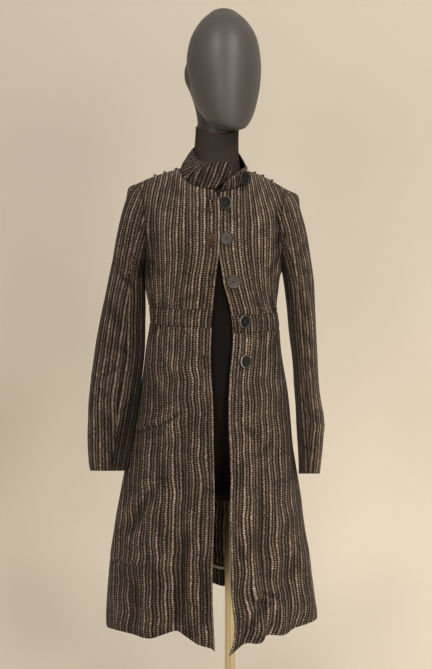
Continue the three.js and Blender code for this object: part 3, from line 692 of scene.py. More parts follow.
def stripedWeaveGroup():
    # stripes across the cloth's width: wide chained stripe, narrow dashed stripe, dark ground
    tree, start, end = newGroup(
        "stripedWeave",
        [("Cloth", "NodeSocketVector", None)],
        [("Color", "NodeSocketColor"), ("Height", "NodeSocketFloat"), ("Rough", "NodeSocketFloat")],
    )
    place = start.outputs["Cloth"]
    wobble = sums(tree, "SUBTRACT", noiseAt(tree, place, 24.0, 3.0), 0.5)
    parts = addNode(tree, "ShaderNodeSeparateXYZ", {0: place})
    across = sums(tree, "MULTIPLY_ADD", wobble, weave["wobble"], parts.outputs[0])
    along = parts.outputs[1]
    turns = sums(tree, "MULTIPLY", across, 1000 / weave["repeat"])
    stripeNumber = sums(tree, "FLOOR", turns)
    share = sums(tree, "SUBTRACT", turns, stripeNumber)
    own = addNode(tree, "ShaderNodeTexWhiteNoise", {1: stripeNumber}, noise_dimensions="1D").outputs[0]
    # wide stripe: links that swell and shine in the middle
    offset = sums(tree, "SUBTRACT", share, weave["wideCentre"])
    link = sums(tree, "MULTIPLY", along, 1000 / weave["chainLength"])
    link = sums(tree, "ADD", link, sums(tree, "MULTIPLY_ADD", offset, 0.5, sums(tree, "MULTIPLY", own, 7.0)))
    linkNumber = sums(tree, "FLOOR", link)
    linkWave = sums(tree, "SINE", sums(tree, "MULTIPLY", link, math.tau))
    braid = sums(tree, "COSINE", sums(tree, "MULTIPLY", link, math.pi))
    fromWide = sums(tree, "ABSOLUTE", sums(tree, "MULTIPLY_ADD", braid, 0.022, offset))
    swell = sums(tree, "MULTIPLY_ADD", linkWave, 0.018, weave["wideHalf"])
    wide = ranged(tree, sums(tree, "SUBTRACT", fromWide, swell), 0.025, -0.045)
    pair = addNode(tree, "ShaderNodeCombineXYZ", {0: stripeNumber, 1: linkNumber})
    bead = addNode(tree, "ShaderNodeTexWhiteNoise", {0: pair.outputs[0]}, noise_dimensions="2D").outputs[0]
    lit = ranged(tree, linkWave, -0.9, 0.6, 0.22, 1.0)
    chain = sums(tree, "MULTIPLY", lit, sums(tree, "MULTIPLY_ADD", bead, 0.65, 0.5))
    edgeTone = ranged(tree, fromWide, weave["wideHalf"], 0.02, 0.45, 1.0)
    chain = sums(tree, "MULTIPLY", chain, edgeTone)
    # narrow stripe: short dashes, with small dark stitches on both sides
    fromNarrow = sums(tree, "ABSOLUTE", sums(tree, "SUBTRACT", share, weave["narrowCentre"]))
    narrow = ranged(tree, fromNarrow, weave["narrowHalf"], weave["narrowHalf"] * 0.5)
    dashPhase = sums(tree, "MULTIPLY_ADD", own, 5.0,
        sums(tree, "MULTIPLY", along, 1000 / weave["dashLength"]))
    dashWave = sums(tree, "SINE", sums(tree, "MULTIPLY", dashPhase, math.tau))
    dash = ranged(tree, dashWave, -0.9, 0.5)
    # each stripe has its own strength, and slow worn patches run along it
    patches = noiseAt(tree, place, 30.0, 4.0, roughness=0.65)
    strength = sums(tree, "MULTIPLY_ADD", own, 0.44, 0.66)
    strength = sums(tree, "MULTIPLY", strength, ranged(tree, patches, 0.28, 0.72, 0.62, 1.26))
    # fine fibres, and thicker and thinner places of the threads
    fibre, slub = [
        noiseAt(tree, scaledBy(tree, place, weave[key]), 1.0, 2.0) for key in ("fibres", "slubs")
    ]
    fibreTone = ranged(tree, fibre, 0.28, 0.72, 0.6, 1.4)
    fibreTone = sums(tree, "MULTIPLY", fibreTone, ranged(tree, slub, 0.3, 0.7, 0.42, 1.7))
    wideColour = mixed(tree, chain, weave["wideDark"], weave["wide"])
    narrowColour = mixed(tree, dash, weave["narrowDark"], weave["narrow"])
    speck = ranged(tree, sums(tree, "MULTIPLY", dashWave, linkWave), 0.1, 0.8)
    ground = mixed(tree, speck, weave["ground"], weave["narrowDark"])
    colour = mixed(tree, narrow, ground, narrowColour)
    colour = mixed(tree, wide, colour, wideColour)
    stripes = sums(tree, "MAXIMUM", wide, narrow)
    tone = lerpSocket(tree, stripes, 1.0, strength)
    tone = sums(tree, "MULTIPLY", tone, fibreTone)
    tree.links.new(timesTone(tree, colour, tone), end.inputs["Color"])
    height = sums(tree, "MULTIPLY", wide, sums(tree, "MULTIPLY_ADD", chain, 0.5, 0.5))
    height = sums(tree, "MULTIPLY_ADD", sums(tree, "MULTIPLY", narrow, dash), 0.5, height)
    height = sums(tree, "MULTIPLY_ADD", fibre, 0.4, height)
    tree.links.new(height, end.inputs["Height"])
    tree.links.new(ranged(tree, stripes, 0.0, 1.0, 0.95, 0.8), end.inputs["Rough"])
    return tree


unevenTone = unevenToneGroup()
fineWeave = fineWeaveGroup()
stripedWeave = stripedWeaveGroup()

colours = {
    "head": (0.061, 0.0565, 0.0548, 1), "buttonDark": (0.046, 0.0425, 0.040, 1),
    "buttonPale": (0.080, 0.074, 0.069, 1),
    "brassDark": (0.56, 0.46, 0.29, 1), "brassPale": (0.72, 0.61, 0.42, 1), "stage": (0.590, 0.544, 0.469, 1),
    "binding": (0.30, 0.29, 0.28, 1), "thread": (0.020, 0.015, 0.012, 1),
}


def objectPlace(tree):
    return addNode(tree, "ShaderNodeTexCoord").outputs["Object"]


def toned(tree, place, colour, scale, amount):
    tone = placeGroup(tree, unevenTone, {"Place": place, "Scale": scale, "Amount": amount}).outputs["Tone"]
    return timesTone(tree, colour, tone)


def bumped(tree, shader, height, distance):
    bump = addNode(tree, "ShaderNodeBump", {"Height": height, "Distance": distance, "Strength": 1.0})
    tree.links.new(bump.outputs[0], shader.inputs["Normal"])


def makeStripedCloth():
    made, tree, shader = newMaterial("stripedCloth", {
        "Sheen Weight": 0.04, "Sheen Roughness": 0.5, "Specular IOR Level": 0.12,
    })
    cloth = addNode(tree, "ShaderNodeUVMap", uv_map="cloth").outputs[0]
    woven = placeGroup(tree, stripedWeave, {"Cloth": cloth})
    colour = timesShade(tree, toned(tree, objectPlace(tree), woven.outputs["Color"], 5.0, 0.10))
    tree.links.new(colour, shader.inputs["Base Color"])
    tree.links.new(woven.outputs["Rough"], shader.inputs["Roughness"])
    bumped(tree, shader, woven.outputs["Height"], weave["relief"])
    return made


def makeWovenMaterial(name, colour, threads, roughness):
    made, tree, shader = newMaterial(name, {"Roughness": roughness, "Sheen Weight": 0.1})
    place = objectPlace(tree)
    woven = placeGroup(tree, fineWeave, {"Place": place, "Threads": threads})
    dark = tuple(c * 0.62 for c in colour[:3]) + (1,)
    shade = mixed(tree, woven.outputs["Height"], dark, colour)
    tree.links.new(toned(tree, place, shade, 9.0, 0.12), shader.inputs["Base Color"])
    bumped(tree, shader, woven.outputs["Height"], 0.0002)
    return made


def makeHeadPaint():
    made, tree, shader = newMaterial("headPaint", {"Specular IOR Level": 0.42})
    place = objectPlace(tree)
    speckle = noiseAt(tree, place, 900.0, 2.0)
    colour = timesShade(tree, toned(tree, place, colours["head"], 7.0, 0.05))
    tree.links.new(colour, shader.inputs["Base Color"])
    tree.links.new(ranged(tree, speckle, 0.2, 0.8, 0.42, 0.52), shader.inputs["Roughness"])
    bumped(tree, shader, speckle, 0.00008)
    return made


def makeButtonPlastic():
    made, tree, shader = newMaterial("buttonPlastic", {"Specular IOR Level": 0.18})
    place = objectPlace(tree)
    swirl = noiseAt(tree, place, 120.0, 4.0, distortion=1.2)
    colour = mixed(tree, ranged(tree, swirl, 0.35, 0.65), colours["buttonDark"], colours["buttonPale"])
    tree.links.new(timesShade(tree, toned(tree, place, colour, 40.0, 0.06)), shader.inputs["Base Color"])
    scratch = noiseAt(tree, place, 1400.0, 2.0)
    tree.links.new(ranged(tree, scratch, 0.3, 0.7, 0.36, 0.52), shader.inputs["Roughness"])
    bumped(tree, shader, scratch, 0.00005)
    return made


def makeBrass():
    made, tree, shader = newMaterial("brassMetal", {"Metallic": 1.0, "Specular IOR Level": 0.5})
    place = objectPlace(tree)
    stretched = addNode(tree, "ShaderNodeMapping", {"Vector": place, "Scale": (900.0, 900.0, 6.0)})
    brushed = noiseAt(tree, stretched.outputs[0], 1.0, 3.0)
    colour = mixed(tree, ranged(tree, brushed, 0.3, 0.7), colours["brassDark"], colours["brassPale"])
    tree.links.new(toned(tree, place, colour, 12.0, 0.06), shader.inputs["Base Color"])
    tree.links.new(ranged(tree, brushed, 0.2, 0.8, 0.27, 0.42), shader.inputs["Roughness"])
    bumped(tree, shader, brushed, 0.00004)
    return made


stageValues = {
    "wallY": 0.95, "coveRadius": 0.45, "halfWidth": 5.0, "frontY": -4.2, "height": 4.6,
    "lowTone": 1.45, "highTone": 0.90,  # the paint is paler low on the wall, where less light falls
    "sideTones": (0.93, 1.08), "middleShade": 0.26,
}


def makeStagePaint():
    made, tree, shader = newMaterial("stagePaint", {"Roughness": 0.95, "Specular IOR Level": 0.1})
    place = objectPlace(tree)
    parts = addNode(tree, "ShaderNodeSeparateXYZ", {0: place})
    x, height = parts.outputs[0], parts.outputs[2]
    heightTone = ranged(tree, height, 0.0, 1.7, stageValues["lowTone"], stageValues["highTone"])
    # painted light: the wall paler towards +x
    sideTone = ranged(tree, x, -1.0, 1.0, *stageValues["sideTones"])
    # painted shadow of the dress: a little darker low down behind it
    nearMiddle = ranged(tree, sums(tree, "ABSOLUTE", sums(tree, "ADD", x, 0.03)), 0.06, 0.42, 1.0, 0.0)
    middle = sums(tree, "MULTIPLY", nearMiddle, ranged(tree, height, 0.1, 0.8, stageValues["middleShade"],
        0.0))
    tone = sums(tree, "MULTIPLY", sideTone, sums(tree, "SUBTRACT", 1.0, middle))
    tone = sums(tree, "MULTIPLY", heightTone, tone)
    paint = toned(tree, place, colours["stage"], 1.2, 0.012)
    tree.links.new(timesTone(tree, paint, tone), shader.inputs["Base Color"])
    clear = addNode(tree, "ShaderNodeBsdfTransparent")
    facing = addNode(tree, "ShaderNodeNewGeometry").outputs["Backfacing"]
    both = addNode(tree, "ShaderNodeMixShader", {0: facing, 1: shader.outputs[0], 2: clear.outputs[0]})
    tree.links.new(both.outputs[0], tree.nodes["Material Output"].inputs["Surface"])
    return made


stripedCloth = makeStripedCloth()
bindingTape = makeWovenMaterial("bindingTape", colours["binding"], 1100.0, 0.85)
# the cover's own colour at the neck, and the same cover darkened as painted shade under the coat
coverValues = {"unshaded": (0.040, 0.032, 0.029, 1), "dark": (0.0075, 0.0058, 0.0052, 1), "low": 1.30,
    "high": 1.41}


def makeFormCover():
    # jersey cover, with painted shade: darker under the coat than at the neck
    made, tree, shader = newMaterial("formCover", {"Roughness": 0.95, "Specular IOR Level": 0.1})
    place = objectPlace(tree)
    woven = placeGroup(tree, fineWeave, {"Place": place, "Threads": 900.0})
    height = addNode(tree, "ShaderNodeSeparateXYZ", {0: place}).outputs[2]
    unshaded = ranged(tree, height, coverValues["low"], coverValues["high"])
    colour = mixed(tree, unshaded, coverValues["dark"], coverValues["unshaded"])
    shade = mixed(tree, sums(tree, "MULTIPLY", woven.outputs["Height"], 0.35), colour, (0.0, 0.0, 0.0, 1))
    tree.links.new(toned(tree, place, shade, 11.0, 0.16), shader.inputs["Base Color"])
    bumped(tree, shader, woven.outputs["Height"], 0.0002)
    return made


formCover = makeFormCover()
darkThread = makeWovenMaterial("darkThread", colours["thread"], 1800.0, 0.8)
headPaint = makeHeadPaint()
buttonPlastic = makeButtonPlastic()
brassMetal = makeBrass()
print("materials made")

bodiceValues = {
    "columns": 78, "rows": 92, "backColumns": 150, "tone": {"right": 1.0, "left": 1.08},
    # cloth eased into the band towards the side seam: length, from height, to height, share where it
    # starts, extra
    "fan": {"front": (150.0, 1118, 1245, 0.42, 38.0), "back": (175.0, 1118, 1262, 0.5, 30.0)},
    # heights between which the stripes change from those of the band to those of the chest
    "stripes": (1205, 1300),
    "armholeShade": 0.26, "armholeReach": 20.0,
    # x1, z1, x2, z2, width, height
    "creases": [
        [-168, 1322, -165, 1222, 13, -6.5], [101, 1320, 99, 1236, 12, -5.5],
        [-178, 1222, -150, 1196, 8, -2.4], [104, 1226, 84, 1198, 8, -2.2],
        [-150, 1330, -120, 1290, 16, 1.8], [78, 1330, 52, 1296, 15, 1.6],
        [-128, 1392, -104, 1352, 9, -1.6], [66, 1386, 44, 1350, 9, -1.6],
        [-58, 1152, -62, 1128, 7, -1.6], [-74, 1158, -80, 1130, 7, -1.8], [-92, 1150, -98, 1127, 6, -1.5],
        [52, 1150, 55, 1118, 7, -1.6], [70, 1158, 76, 1120, 8, -1.9], [88, 1148, 92, 1116, 6, -1.4],
    ],
    "backCreases": [
        [-140, 1330, -118, 1250, 12, -3.5], [70, 1322, 50, 1244, 12, -3.2],
        [-30, 1180, -44, 1128, 10, -1.8], [6, 1172, 12, 1120, 9, -1.6],
        [-96, 1262, -60, 1240, 9, -1.6], [44, 1212, 10, 1190, 9, -1.5],
    ],
}


gatherValues = {  # width, depth, reach from the band, wander across and along
    "bodiceFront": (9.0, 1.3, 46.0, 60.0, 90.0), "bodiceBack": (9.5, 1.0, 40.0, 60.0, 90.0),
    "skirt": (10.5, 0.9, 34.0, 55.0, 80.0),
}


def gathers(kind, u, z, fromBand, seed):
    # sin(u / width + noise) * depth * exp(-(distance / reach) ** 1.5)
    width, depth, reach, across, along = gatherValues[kind]
    wave = np.sin(u / width * math.tau + softNoise(u / across, z / along, seed)) * depth
    return wave * np.exp(-(fromBand / reach) ** 1.5)


def stitchLine(distance, at):
    return -seamValues["stitchDepth"] * np.exp(-((distance - at) / seamValues["width"]) ** 2)


def edgeRidge(distance, middle=5, width=4):
    # the slight swelling of the turned-in cloth along an edge
    return 0.5 * np.exp(-((distance - middle) / width) ** 2)


def clothRelief(x, z, seed, crinkle=0.34):
    # fine unevenness of the washed cloth, longer along the stripes than across
    puckers = softNoise(x / 42, z / 120, seed) * crinkle
    slow = softNoise(x / 130, z / 210, seed + 7) * 1.1
    return puckers + slow


def fanned(u, z, length, low, high, start, extra):
    # width coordinate with more cloth squeezed in near the low end, beyond the start share
    share = np.clip((u / length - start) / (1 - start), 0, 1)
    return u + extra * share ** 2 * (1 - ease(low, high, z))


chestLevel = 1292.0
chestRatio = 1.2  # most cloth to the width seen from the front, at chest level


def chestWidth(x):
    # length of cloth from the middle at chest level
    turn = np.linspace(-math.pi / 2, math.pi / 2, 721)
    centre, half, front = [float(v) for v in between(bodyRows, np.float64(chestLevel))[:3]]
    across, depth = half * np.sin(turn), front * np.cos(turn)
    step = np.minimum(np.hypot(np.diff(across), np.diff(depth)), chestRatio * np.diff(across) + 1e-6)
    length = np.concatenate([[0], np.cumsum(step)])
    length -= np.interp(0, across, length)
    held = np.clip(x - centre, -half, half)
    return np.interp(held, across, length) + chestRatio * (x - centre - held)


shoulderRise = 108.0  # from chest level to the shoulder
lean = {  # how far a stripe at chest level leans in at the shoulder: from, to (distance from x 0), mm
    "right": (50.0, 140.0, 18.0), "left": (30.0, 160.0, 37.0), "back": (40.0, 160.0, 14.0),
}


def leanedWidth(piece, x, z, start):
    # each stripe's place at chest level, found step by step from its place at this height
    low, high, most = lean[piece]
    rise = np.clip((z - chestLevel) / shoulderRise, 0, 1.25) ** 1.2
    atChest = x
    for _ in range(14):
        atChest = x + np.sign(x - start) * most * ease(low, high, np.abs(atChest - start)) * rise
    return chestWidth(atChest)


# height and spread of the hollow's painted shade, its reach, height and spread of the fold beside it, its
# depth
underarms = {"right": (1199.0, 21.0, 70.0, 1178.0, 40.0, 5.0),
    "left": (1218.0, 27.0, 28.0, 1218.0, 30.0, 3.5)}
hollowDark = 0.93  # how much of the light the hollow takes
# share of the reach: on the back and on the sleeve, at the wearer's right and left
hollowShares = {"back": {"right": 0.45, "left": 0.7}, "sleeve": {"right": 0.33, "left": 0.4}}


def underarmFold(piece, z, away, share=1.0):
    # fold and painted shade, both exp(-((z - height) / spread) ** 4) * exp(-(distance / reach) ** 4)
    height, spread, reach, foldHeight, foldSpread, depth = underarms[piece]
    beside = np.exp(-(away / (reach * share)) ** 4)
    fold = depth * np.exp(-((z - foldHeight) / foldSpread) ** 4) * beside
    return fold, 1 - hollowDark * np.exp(-((z - height) / spread) ** 4) * beside


seenValues = {"most": 1.22, "least": 0.68}


def seenWidth(points):
    # length along the rows, each step cut down to `most` times the width seen from the front,
    # but never below the share `least` of its own length
    steps = np.linalg.norm(np.diff(points, axis=1), axis=-1)
    across = np.abs(np.diff(points[..., 0], axis=1))
    kept = np.minimum(steps, np.maximum(seenValues["most"] * across, seenValues["least"] * steps))
    return np.concatenate([np.zeros_like(kept[:, :1]), np.cumsum(kept, axis=1)], axis=1)


def ringInside(points, below=0.0):
    # for each point one on the body's middle line, to tell inside from outside
    z = points[..., 2]
    return np.stack([between(bodyRows, z)[0], np.zeros_like(z), z - below], -1)


def makeCloth(node, points, uv, inside, relief, under=0.0, shade=1.0):
    made = clothShell(f"{node}_cloth", points, uv, inside, relief, under, shade=shade)
    return dressPiece(made, stripedCloth, [node]), points


def bodiceShares():
    # rows from the band to the shoulder, closer together above the neckline's level
    level = dress["necklineLevel"]
    share = denseEnds(0, 1, bodiceValues["rows"])
    return np.where(share > level, 1 - (1 - level) * (1 - (share - level) / (1 - level)) ** 2, share)


def makeBodiceFront(piece):
    side = -1 if piece == "right" else 1
    s, share = np.meshgrid(denseEnds(0, 1, bodiceValues["columns"]), bodiceShares())
    angle = lerp(edgeAngle(piece, share), side * armholeAngle(share), s)
    points = bodicePoint(piece, angle, share)
    x, z = points[..., 0], points[..., 2]
    fromFront, fromSide, fromBand, fromTop = edgeDistances(points)
    edgeAtChest = between(edgeRows[piece], np.float64(chestLevel))[0]
    upper = (leanedWidth(piece, x, z, edgeAtChest) - chestWidth(edgeAtChest)) * side
    u = lerp(seenWidth(points), upper, ease(*bodiceValues["stripes"], z))
    u = fanned(u, z, *bodiceValues["fan"]["front"])
    relief = clothRelief(x, z, 11 if piece == "right" else 12)
    relief = relief * ease(0, 14, nearest(fromFront, fromSide, fromBand, fromTop))
    relief += creaseRelief(x, z, bodiceValues["creases"]) * ease(1, 12, fromSide)
    relief += gathers("bodiceFront", u, z, fromBand, 5) * ease(20, 70, fromFront) * ease(0, 4, fromBand)
    relief += seamGroove(fromSide, fromBand, fromTop)
    relief += edgeRidge(fromFront)
    fold, shade = underarmFold(piece, z, fromSide)
    relief += fold
    uv = np.stack([u + 1.2, fromBand], -1)
    # painted light and shade: the wearer's left front paler, and the cloth beside the armhole darker
    beside = bodiceValues["armholeShade"] * np.exp(-(fromSide / bodiceValues["armholeReach"]) ** 2)
    shade = shade * bodiceValues["tone"][piece] * (1 - beside * ease(1165, 1230,
        z) * (1 - ease(1320, 1370, z)))
    return makeCloth(f"bodice_{piece}_front", points, uv, ringInside(points, 20), relief, shade=shade)


# share of the back's top edge at which the neckline starts, from either end
neckTurn = math.degrees(math.asin(dress["neckHalf"] / dress["shoulderReach"]))
neckShare = (dress["armholeTopAngle"] - neckTurn) / (2 * dress["armholeTopAngle"])


def makeBodiceBack():
    s = denseEnds(0, 1, bodiceValues["backColumns"])
    s = np.sort(np.concatenate([s, [neckShare, 1 - neckShare, neckShare + 0.002, 1 - neckShare - 0.002]]))
    s, share = np.meshgrid(s, bodiceShares())
    points = bodiceBackPoint(s, share)
    x, z = points[..., 0], points[..., 2]
    fromLeft, fromRight, fromBand, fromTop = edgeDistances(points)
    leaned = leanedWidth("back", x, z, -37.0)
    u = lerp((fromLeft - fromRight) / 2, leaned, ease(*bodiceValues["stripes"], z))
    u = np.sign(u) * fanned(np.abs(u), z, *bodiceValues["fan"]["back"])
    relief = clothRelief(x, z, 23) * ease(0, 14, nearest(fromLeft, fromRight, fromBand, fromTop))
    relief += creaseRelief(x, z, bodiceValues["backCreases"]) * ease(1, 12, nearest(fromLeft, fromRight))
    relief += gathers("bodiceBack", u, z, fromBand, 6) * ease(0, 4, fromBand)
    relief += seamGroove(fromLeft, fromRight, fromBand, fromTop)
    foldRight, shadeRight = underarmFold("right", z, fromLeft, hollowShares["back"]["right"])
    foldLeft, shadeLeft = underarmFold("left", z, fromRight, hollowShares["back"]["left"])
    relief += foldRight + foldLeft
    uv = np.stack([u + 4.5, fromBand], -1)
    return makeCloth("bodice_back", points, uv, ringInside(points, 20), relief, shade=shadeRight * shadeLeft)


bandShade = 0.87
nodeEnds = {"right": "right_front", "left": "left_front", "back": "back"}


def makeBand(piece, columns, shift):
    # flat strip with small ripples near its seams, in the stripes' direction
    s, share = np.meshgrid(denseEnds(0, 1, columns), denseEnds(0, 1, 18, (0.004, 0.014, 0.03, 0.06)))
    points = bandPoint(piece, s, share)
    x, z = points[..., 0], points[..., 2]
    fromStart, fromEnd, fromTop, fromFoot = edgeDistances(points)
    seen = seenWidth(points)
    u = seen - seen[:, -1:] / 2 if piece == "back" else seen
    near = nearest(fromTop, fromFoot)
    relief = clothRelief(x, z, 31 + columns, 0.25) * ease(0, 12, nearest(near, fromStart, fromEnd))
    relief += 0.4 * np.sin(u / 21 * math.tau + 1.3 * np.sin(u / 37)) * np.exp(-(near / 9) ** 2) * ease(0, 3,
        near)
    relief += seamGroove(fromTop, fromFoot, fromEnd)
    relief += 0.5 * ease(2, 6, near)
    if piece == "back":
        relief += seamGroove(fromStart)
    uv = np.stack([u + shift, fromFoot], -1)
    return makeCloth(f"band_{nodeEnds[piece]}", points, uv, ringInside(points), relief, shade=bandShade)


skirtValues = {
    "columns": {"right": 120, "left": 110, "back": 170}, "rows": 140, "turnUp": 42.0, "fan": 0.25, "jog": 1.8,
    "wave": 1.6, "creaseDepth": {"right": 1.4, "left": 1.15, "back": 1.4},
    # painted light and shade: tone at the band, and from 260 mm below it, paler on the wearer's left
    "tones": {"right": (0.92, 0.84), "left": (1.0, 1.05), "back": (1.0, 0.9)}, "toneReach": 260.0,
    "creases": {
        "right": [
            [-206, 846, -172, 866, 3.6, -2.0], [-176, 865, -142, 873, 3.4, -2.4],
            [-146, 873, -106, 903, 3.4, -2.4],
            [-200, 858, -112, 906, 6, 1.7],
            [-266, 554, -243, 572, 3.2, -2.4], [-245, 572, -182, 576, 3.2, -2.4],
            [-258, 575, -180, 583, 5, 1.5],
            [-168, 738, -216, 642, 11, -3.6], [-190, 738, -236, 650, 12, 2.4],
            [-60, 750, -32, 738, 5, -2.0], [-100, 640, -112, 470, 12, -4.0], [-128, 620, -140, 456, 13, 3.4],
            [-96, 512, -64, 498, 5, -2.2], [-96, 500, -70, 486, 5, 1.6], [-62, 610, -58, 470, 11, -2.8],
            [-196, 560, -204, 440, 15, -3.4], [-170, 700, -150, 560, 14, 2.6],
            [-128, 990, -118, 940, 8, -1.5],
            [-150, 1040, -140, 960, 9, -1.6], [-88, 1066, -92, 1010, 7, -1.3],
            [-108, 1070, -116, 1022, 6, -1.4],
            [-86, 700, -76, 622, 10, 1.8], [-140, 800, -150, 730, 12, -1.8],
        ],
        "left": [
            [44, 514, 92, 496, 5, -2.8], [76, 521, 114, 504, 5, -2.4], [46, 524, 96, 508, 6, 1.8],
            [38, 436, 66, 522, 9, -3.8], [58, 430, 92, 500, 10, 3.2], [64, 770, 70, 560, 16, -3.0],
            [10, 648, 24, 604, 6, -2.0], [30, 740, 26, 600, 12, 2.2], [112, 640, 128, 450, 15, -3.4],
            [96, 700, 104, 540, 12, 2.0], [70, 1060, 74, 1000, 7, -1.3], [52, 1062, 50, 1010, 6, -1.2],
            [92, 1050, 96, 980, 8, -1.5], [24, 876, 60, 846, 7, -1.4], [96, 846, 62, 812, 7, -1.3],
        ],
        "back": [
            [-178, 880, -110, 912, 6, -2.6], [-150, 820, -166, 640, 15, -3.2],
            [-108, 760, -118, 560, 16, 2.8],
            [-70, 860, -82, 600, 17, -3.4], [-20, 740, -16, 480, 16, 3.0], [30, 880, 26, 640, 16, -2.8],
            [64, 640, 74, 450, 15, -3.6], [104, 760, 116, 560, 15, 2.6], [-170, 560, -150, 450, 13, -3.4],
            [-60, 1064, -62, 1004, 8, -1.4], [0, 1062, 4, 996, 8, -1.5], [-118, 1060, -124, 1000, 8, -1.3],
            [20, 604, 84, 590, 5, -2.4], [-196, 600, -140, 586, 5, -2.2], [-40, 506, 0, 494, 6, -2.0],
        ],
    },
}


def makeSkirt(piece, shift):
    # flared piece with long soft waves, listed creases, gathers at the band and a turned-up hem
    s, share = np.meshgrid(denseEnds(0, 1, skirtValues["columns"][piece], (0.0009, 0.003, 0.007, 0.014)),
                           denseEnds(0, 1, skirtValues["rows"], (0.0003, 0.001, 0.0022, 0.006)))
    points = skirtPoint(piece, s, share)
    x, z = points[..., 0], points[..., 2]
    fromStart, fromEnd, fromBand, fromHem = edgeDistances(points)
    middle = skirtPoint(piece, s[:1], np.full_like(s[:1], 0.45))
    even, seen = seenWidth(middle), seenWidth(points)
    if piece == "back":
        even, seen = even - even[:, -1:] / 2, seen - seen[:, -1:] / 2
    u = lerp(seen, even, skirtValues["fan"])
    fromSides = nearest(fromStart, fromEnd)
    seed = {"right": 41, "left": 42, "back": 43}[piece]
    relief = clothRelief(x, z, seed, 0.4) * ease(0, 16, nearest(fromSides, fromBand, fromHem))
    wave = skirtValues["wave"] * softNoise(u / 110, z / 640, seed + 3)
    relief += wave * ease(0, 260, fromBand) * ease(0, 20, fromSides)
    relief += skirtValues["creaseDepth"][piece] * creaseRelief(x, z, skirtValues["creases"][piece])
    jog = skirtValues["jog"] * softNoise(x / 95, z / 70, seed + 9) * ease(0, 120, fromBand)
    jog += creaseShift(x, z, skirtValues["creases"][piece])
    u = u + jog * ease(0, 22, fromSides)
    relief += gathers("skirt", u, z, fromBand, seed + 5) * ease(16, 60, fromStart) * ease(0, 4, fromBand)
    relief += seamGroove(fromEnd, fromBand)
    relief += seamGroove(fromStart) if piece == "back" else edgeRidge(fromStart)
    turnUp = skirtValues["turnUp"]
    stitches = 0.5 + 0.5 * np.cos(u / 7.5 * math.tau)
    relief += stitchLine(fromHem, turnUp) * stitches
    # the turned-up hem is double
    under = seamValues["double"] * (1 - ease(turnUp - 1, turnUp + 0.6, fromHem))
    uv = np.stack([u + shift, -fromBand], -1)
    shade = lerp(*skirtValues["tones"][piece], ease(0, skirtValues["toneReach"], fromBand))
    return makeCloth(f"skirt_{nodeEnds[piece]}", points, uv, ringInside(points), relief, under, shade)


sleeveValues = {
    "rows": 150, "columns": {"top": 74, "under": 54}, "turnUp": 34.0,
    "seams": {"top": (17, 31), "under": (7, 17)},  # in 24ths of a turn from the outer line
    "tubeRadius": 47.0, "outerHalf": {"right": 40.0, "left": 32.0}, "outerArc": 42.0, "outerDepth": 46.0,
    "reach": {"top": 120.0, "under": 110.0},  # how far the lines run on above the sleeve
    "stripes": {"right": 2.0, "left": 6.5},   # their shift sideways
    "creases": {
        "right": [
            [-278, 968, -235, 992, 5, -3.2], [-286, 950, -244, 976, 7, 2.4], [-288, 944, -268, 930, 7, -2.2],
            [-252, 893, -226, 899, 4, -2.6], [-256, 905, -230, 911, 5, 1.6], [-256, 846, -246, 830, 4, -2.2],
            [-262, 872, -240, 860, 5, -1.6], [-240, 1190, -206, 1160, 8, -2.8],
            [-258, 1224, -222, 1200, 10, -2.0],
            [-262, 1120, -236, 1066, 10, -1.8], [-244, 1040, -214, 1012, 7, -1.8],
            [-290, 900, -300, 860, 9, 1.8],
        ],
        "left": [
            [158, 1206, 177, 1132, 8, -3.0], [148, 1196, 164, 1128, 8, 2.0], [148, 1072, 176, 1040, 6, -2.2],
            [160, 1010, 184, 990, 6, -1.8], [202, 872, 160, 892, 6, -2.2], [204, 858, 168, 868, 8, 2.0],
            [144, 930, 166, 905, 6, -1.8], [150, 822, 176, 812, 5, -1.6], [168, 1262, 150, 1226, 8, -2.0],
        ],
    },
    # painted light and shade: the wearer's left sleeve paler, the side towards the dress darker
    "tones": {  # height, tone of the outer side, of the side towards the dress
        "right": [
            [755, 0.80, 0.55], [815, 0.82, 0.45], [905, 0.81, 0.30], [1010, 0.76, 0.42], [1120, 0.67, 0.62],
            [1200, 0.74, 0.75], [1300, 0.76, 0.9], [1400, 0.78, 1.0],
        ],
        "left": [[750, 1.18, 0.8], [905, 1.16, 0.7], [1120, 0.97, 0.7], [1300, 0.98, 0.9], [1400, 0.98, 1.0]],
    },
    "backCreases": {
        "right": [[-284, 930, -240, 952, 6, -2.8], [-262, 1180, -220, 1150, 9, -2.4],
        [-290, 880, -246, 866, 7, -2.0]],
        "left": [[150, 936, 190, 912, 6, -2.6], [146, 1160, 178, 1120, 8, -2.4],
        [156, 830, 190, 842, 6, -1.8]],
    },
}


def fromInnerLine(piece, points):
    # distance of each point from the sleeve's inner line, which runs on straight above the
    # armhole, measured round a tube; and the length along that line
    line = sleevePoint(piece, np.full(260, math.pi), np.linspace(0, 2, 260))
    reach = sleeveValues["reach"]["under"]
    upwards = line[0] - line[30]
    upwards /= np.linalg.norm(upwards)
    start = line[0] + upwards * np.linspace(reach, 2, 60)[:, None]
    line = np.concatenate([start, line])
    lengths = np.concatenate([[0], np.cumsum(np.linalg.norm(np.diff(line, axis=0), axis=1))]) - reach
    flat = points.reshape(-1, 3)
    squared = squaredDistances(flat, line)
    k = squared.argmin(1)
    away = np.sqrt(np.maximum(squared[np.arange(len(flat)), k], 0))
    tube = 2 * sleeveValues["tubeRadius"]
    arc = tube * np.arcsin(np.clip(away / tube, 0, 0.995))
    return arc.reshape(points.shape[:2]), lengths[k].reshape(points.shape[:2])


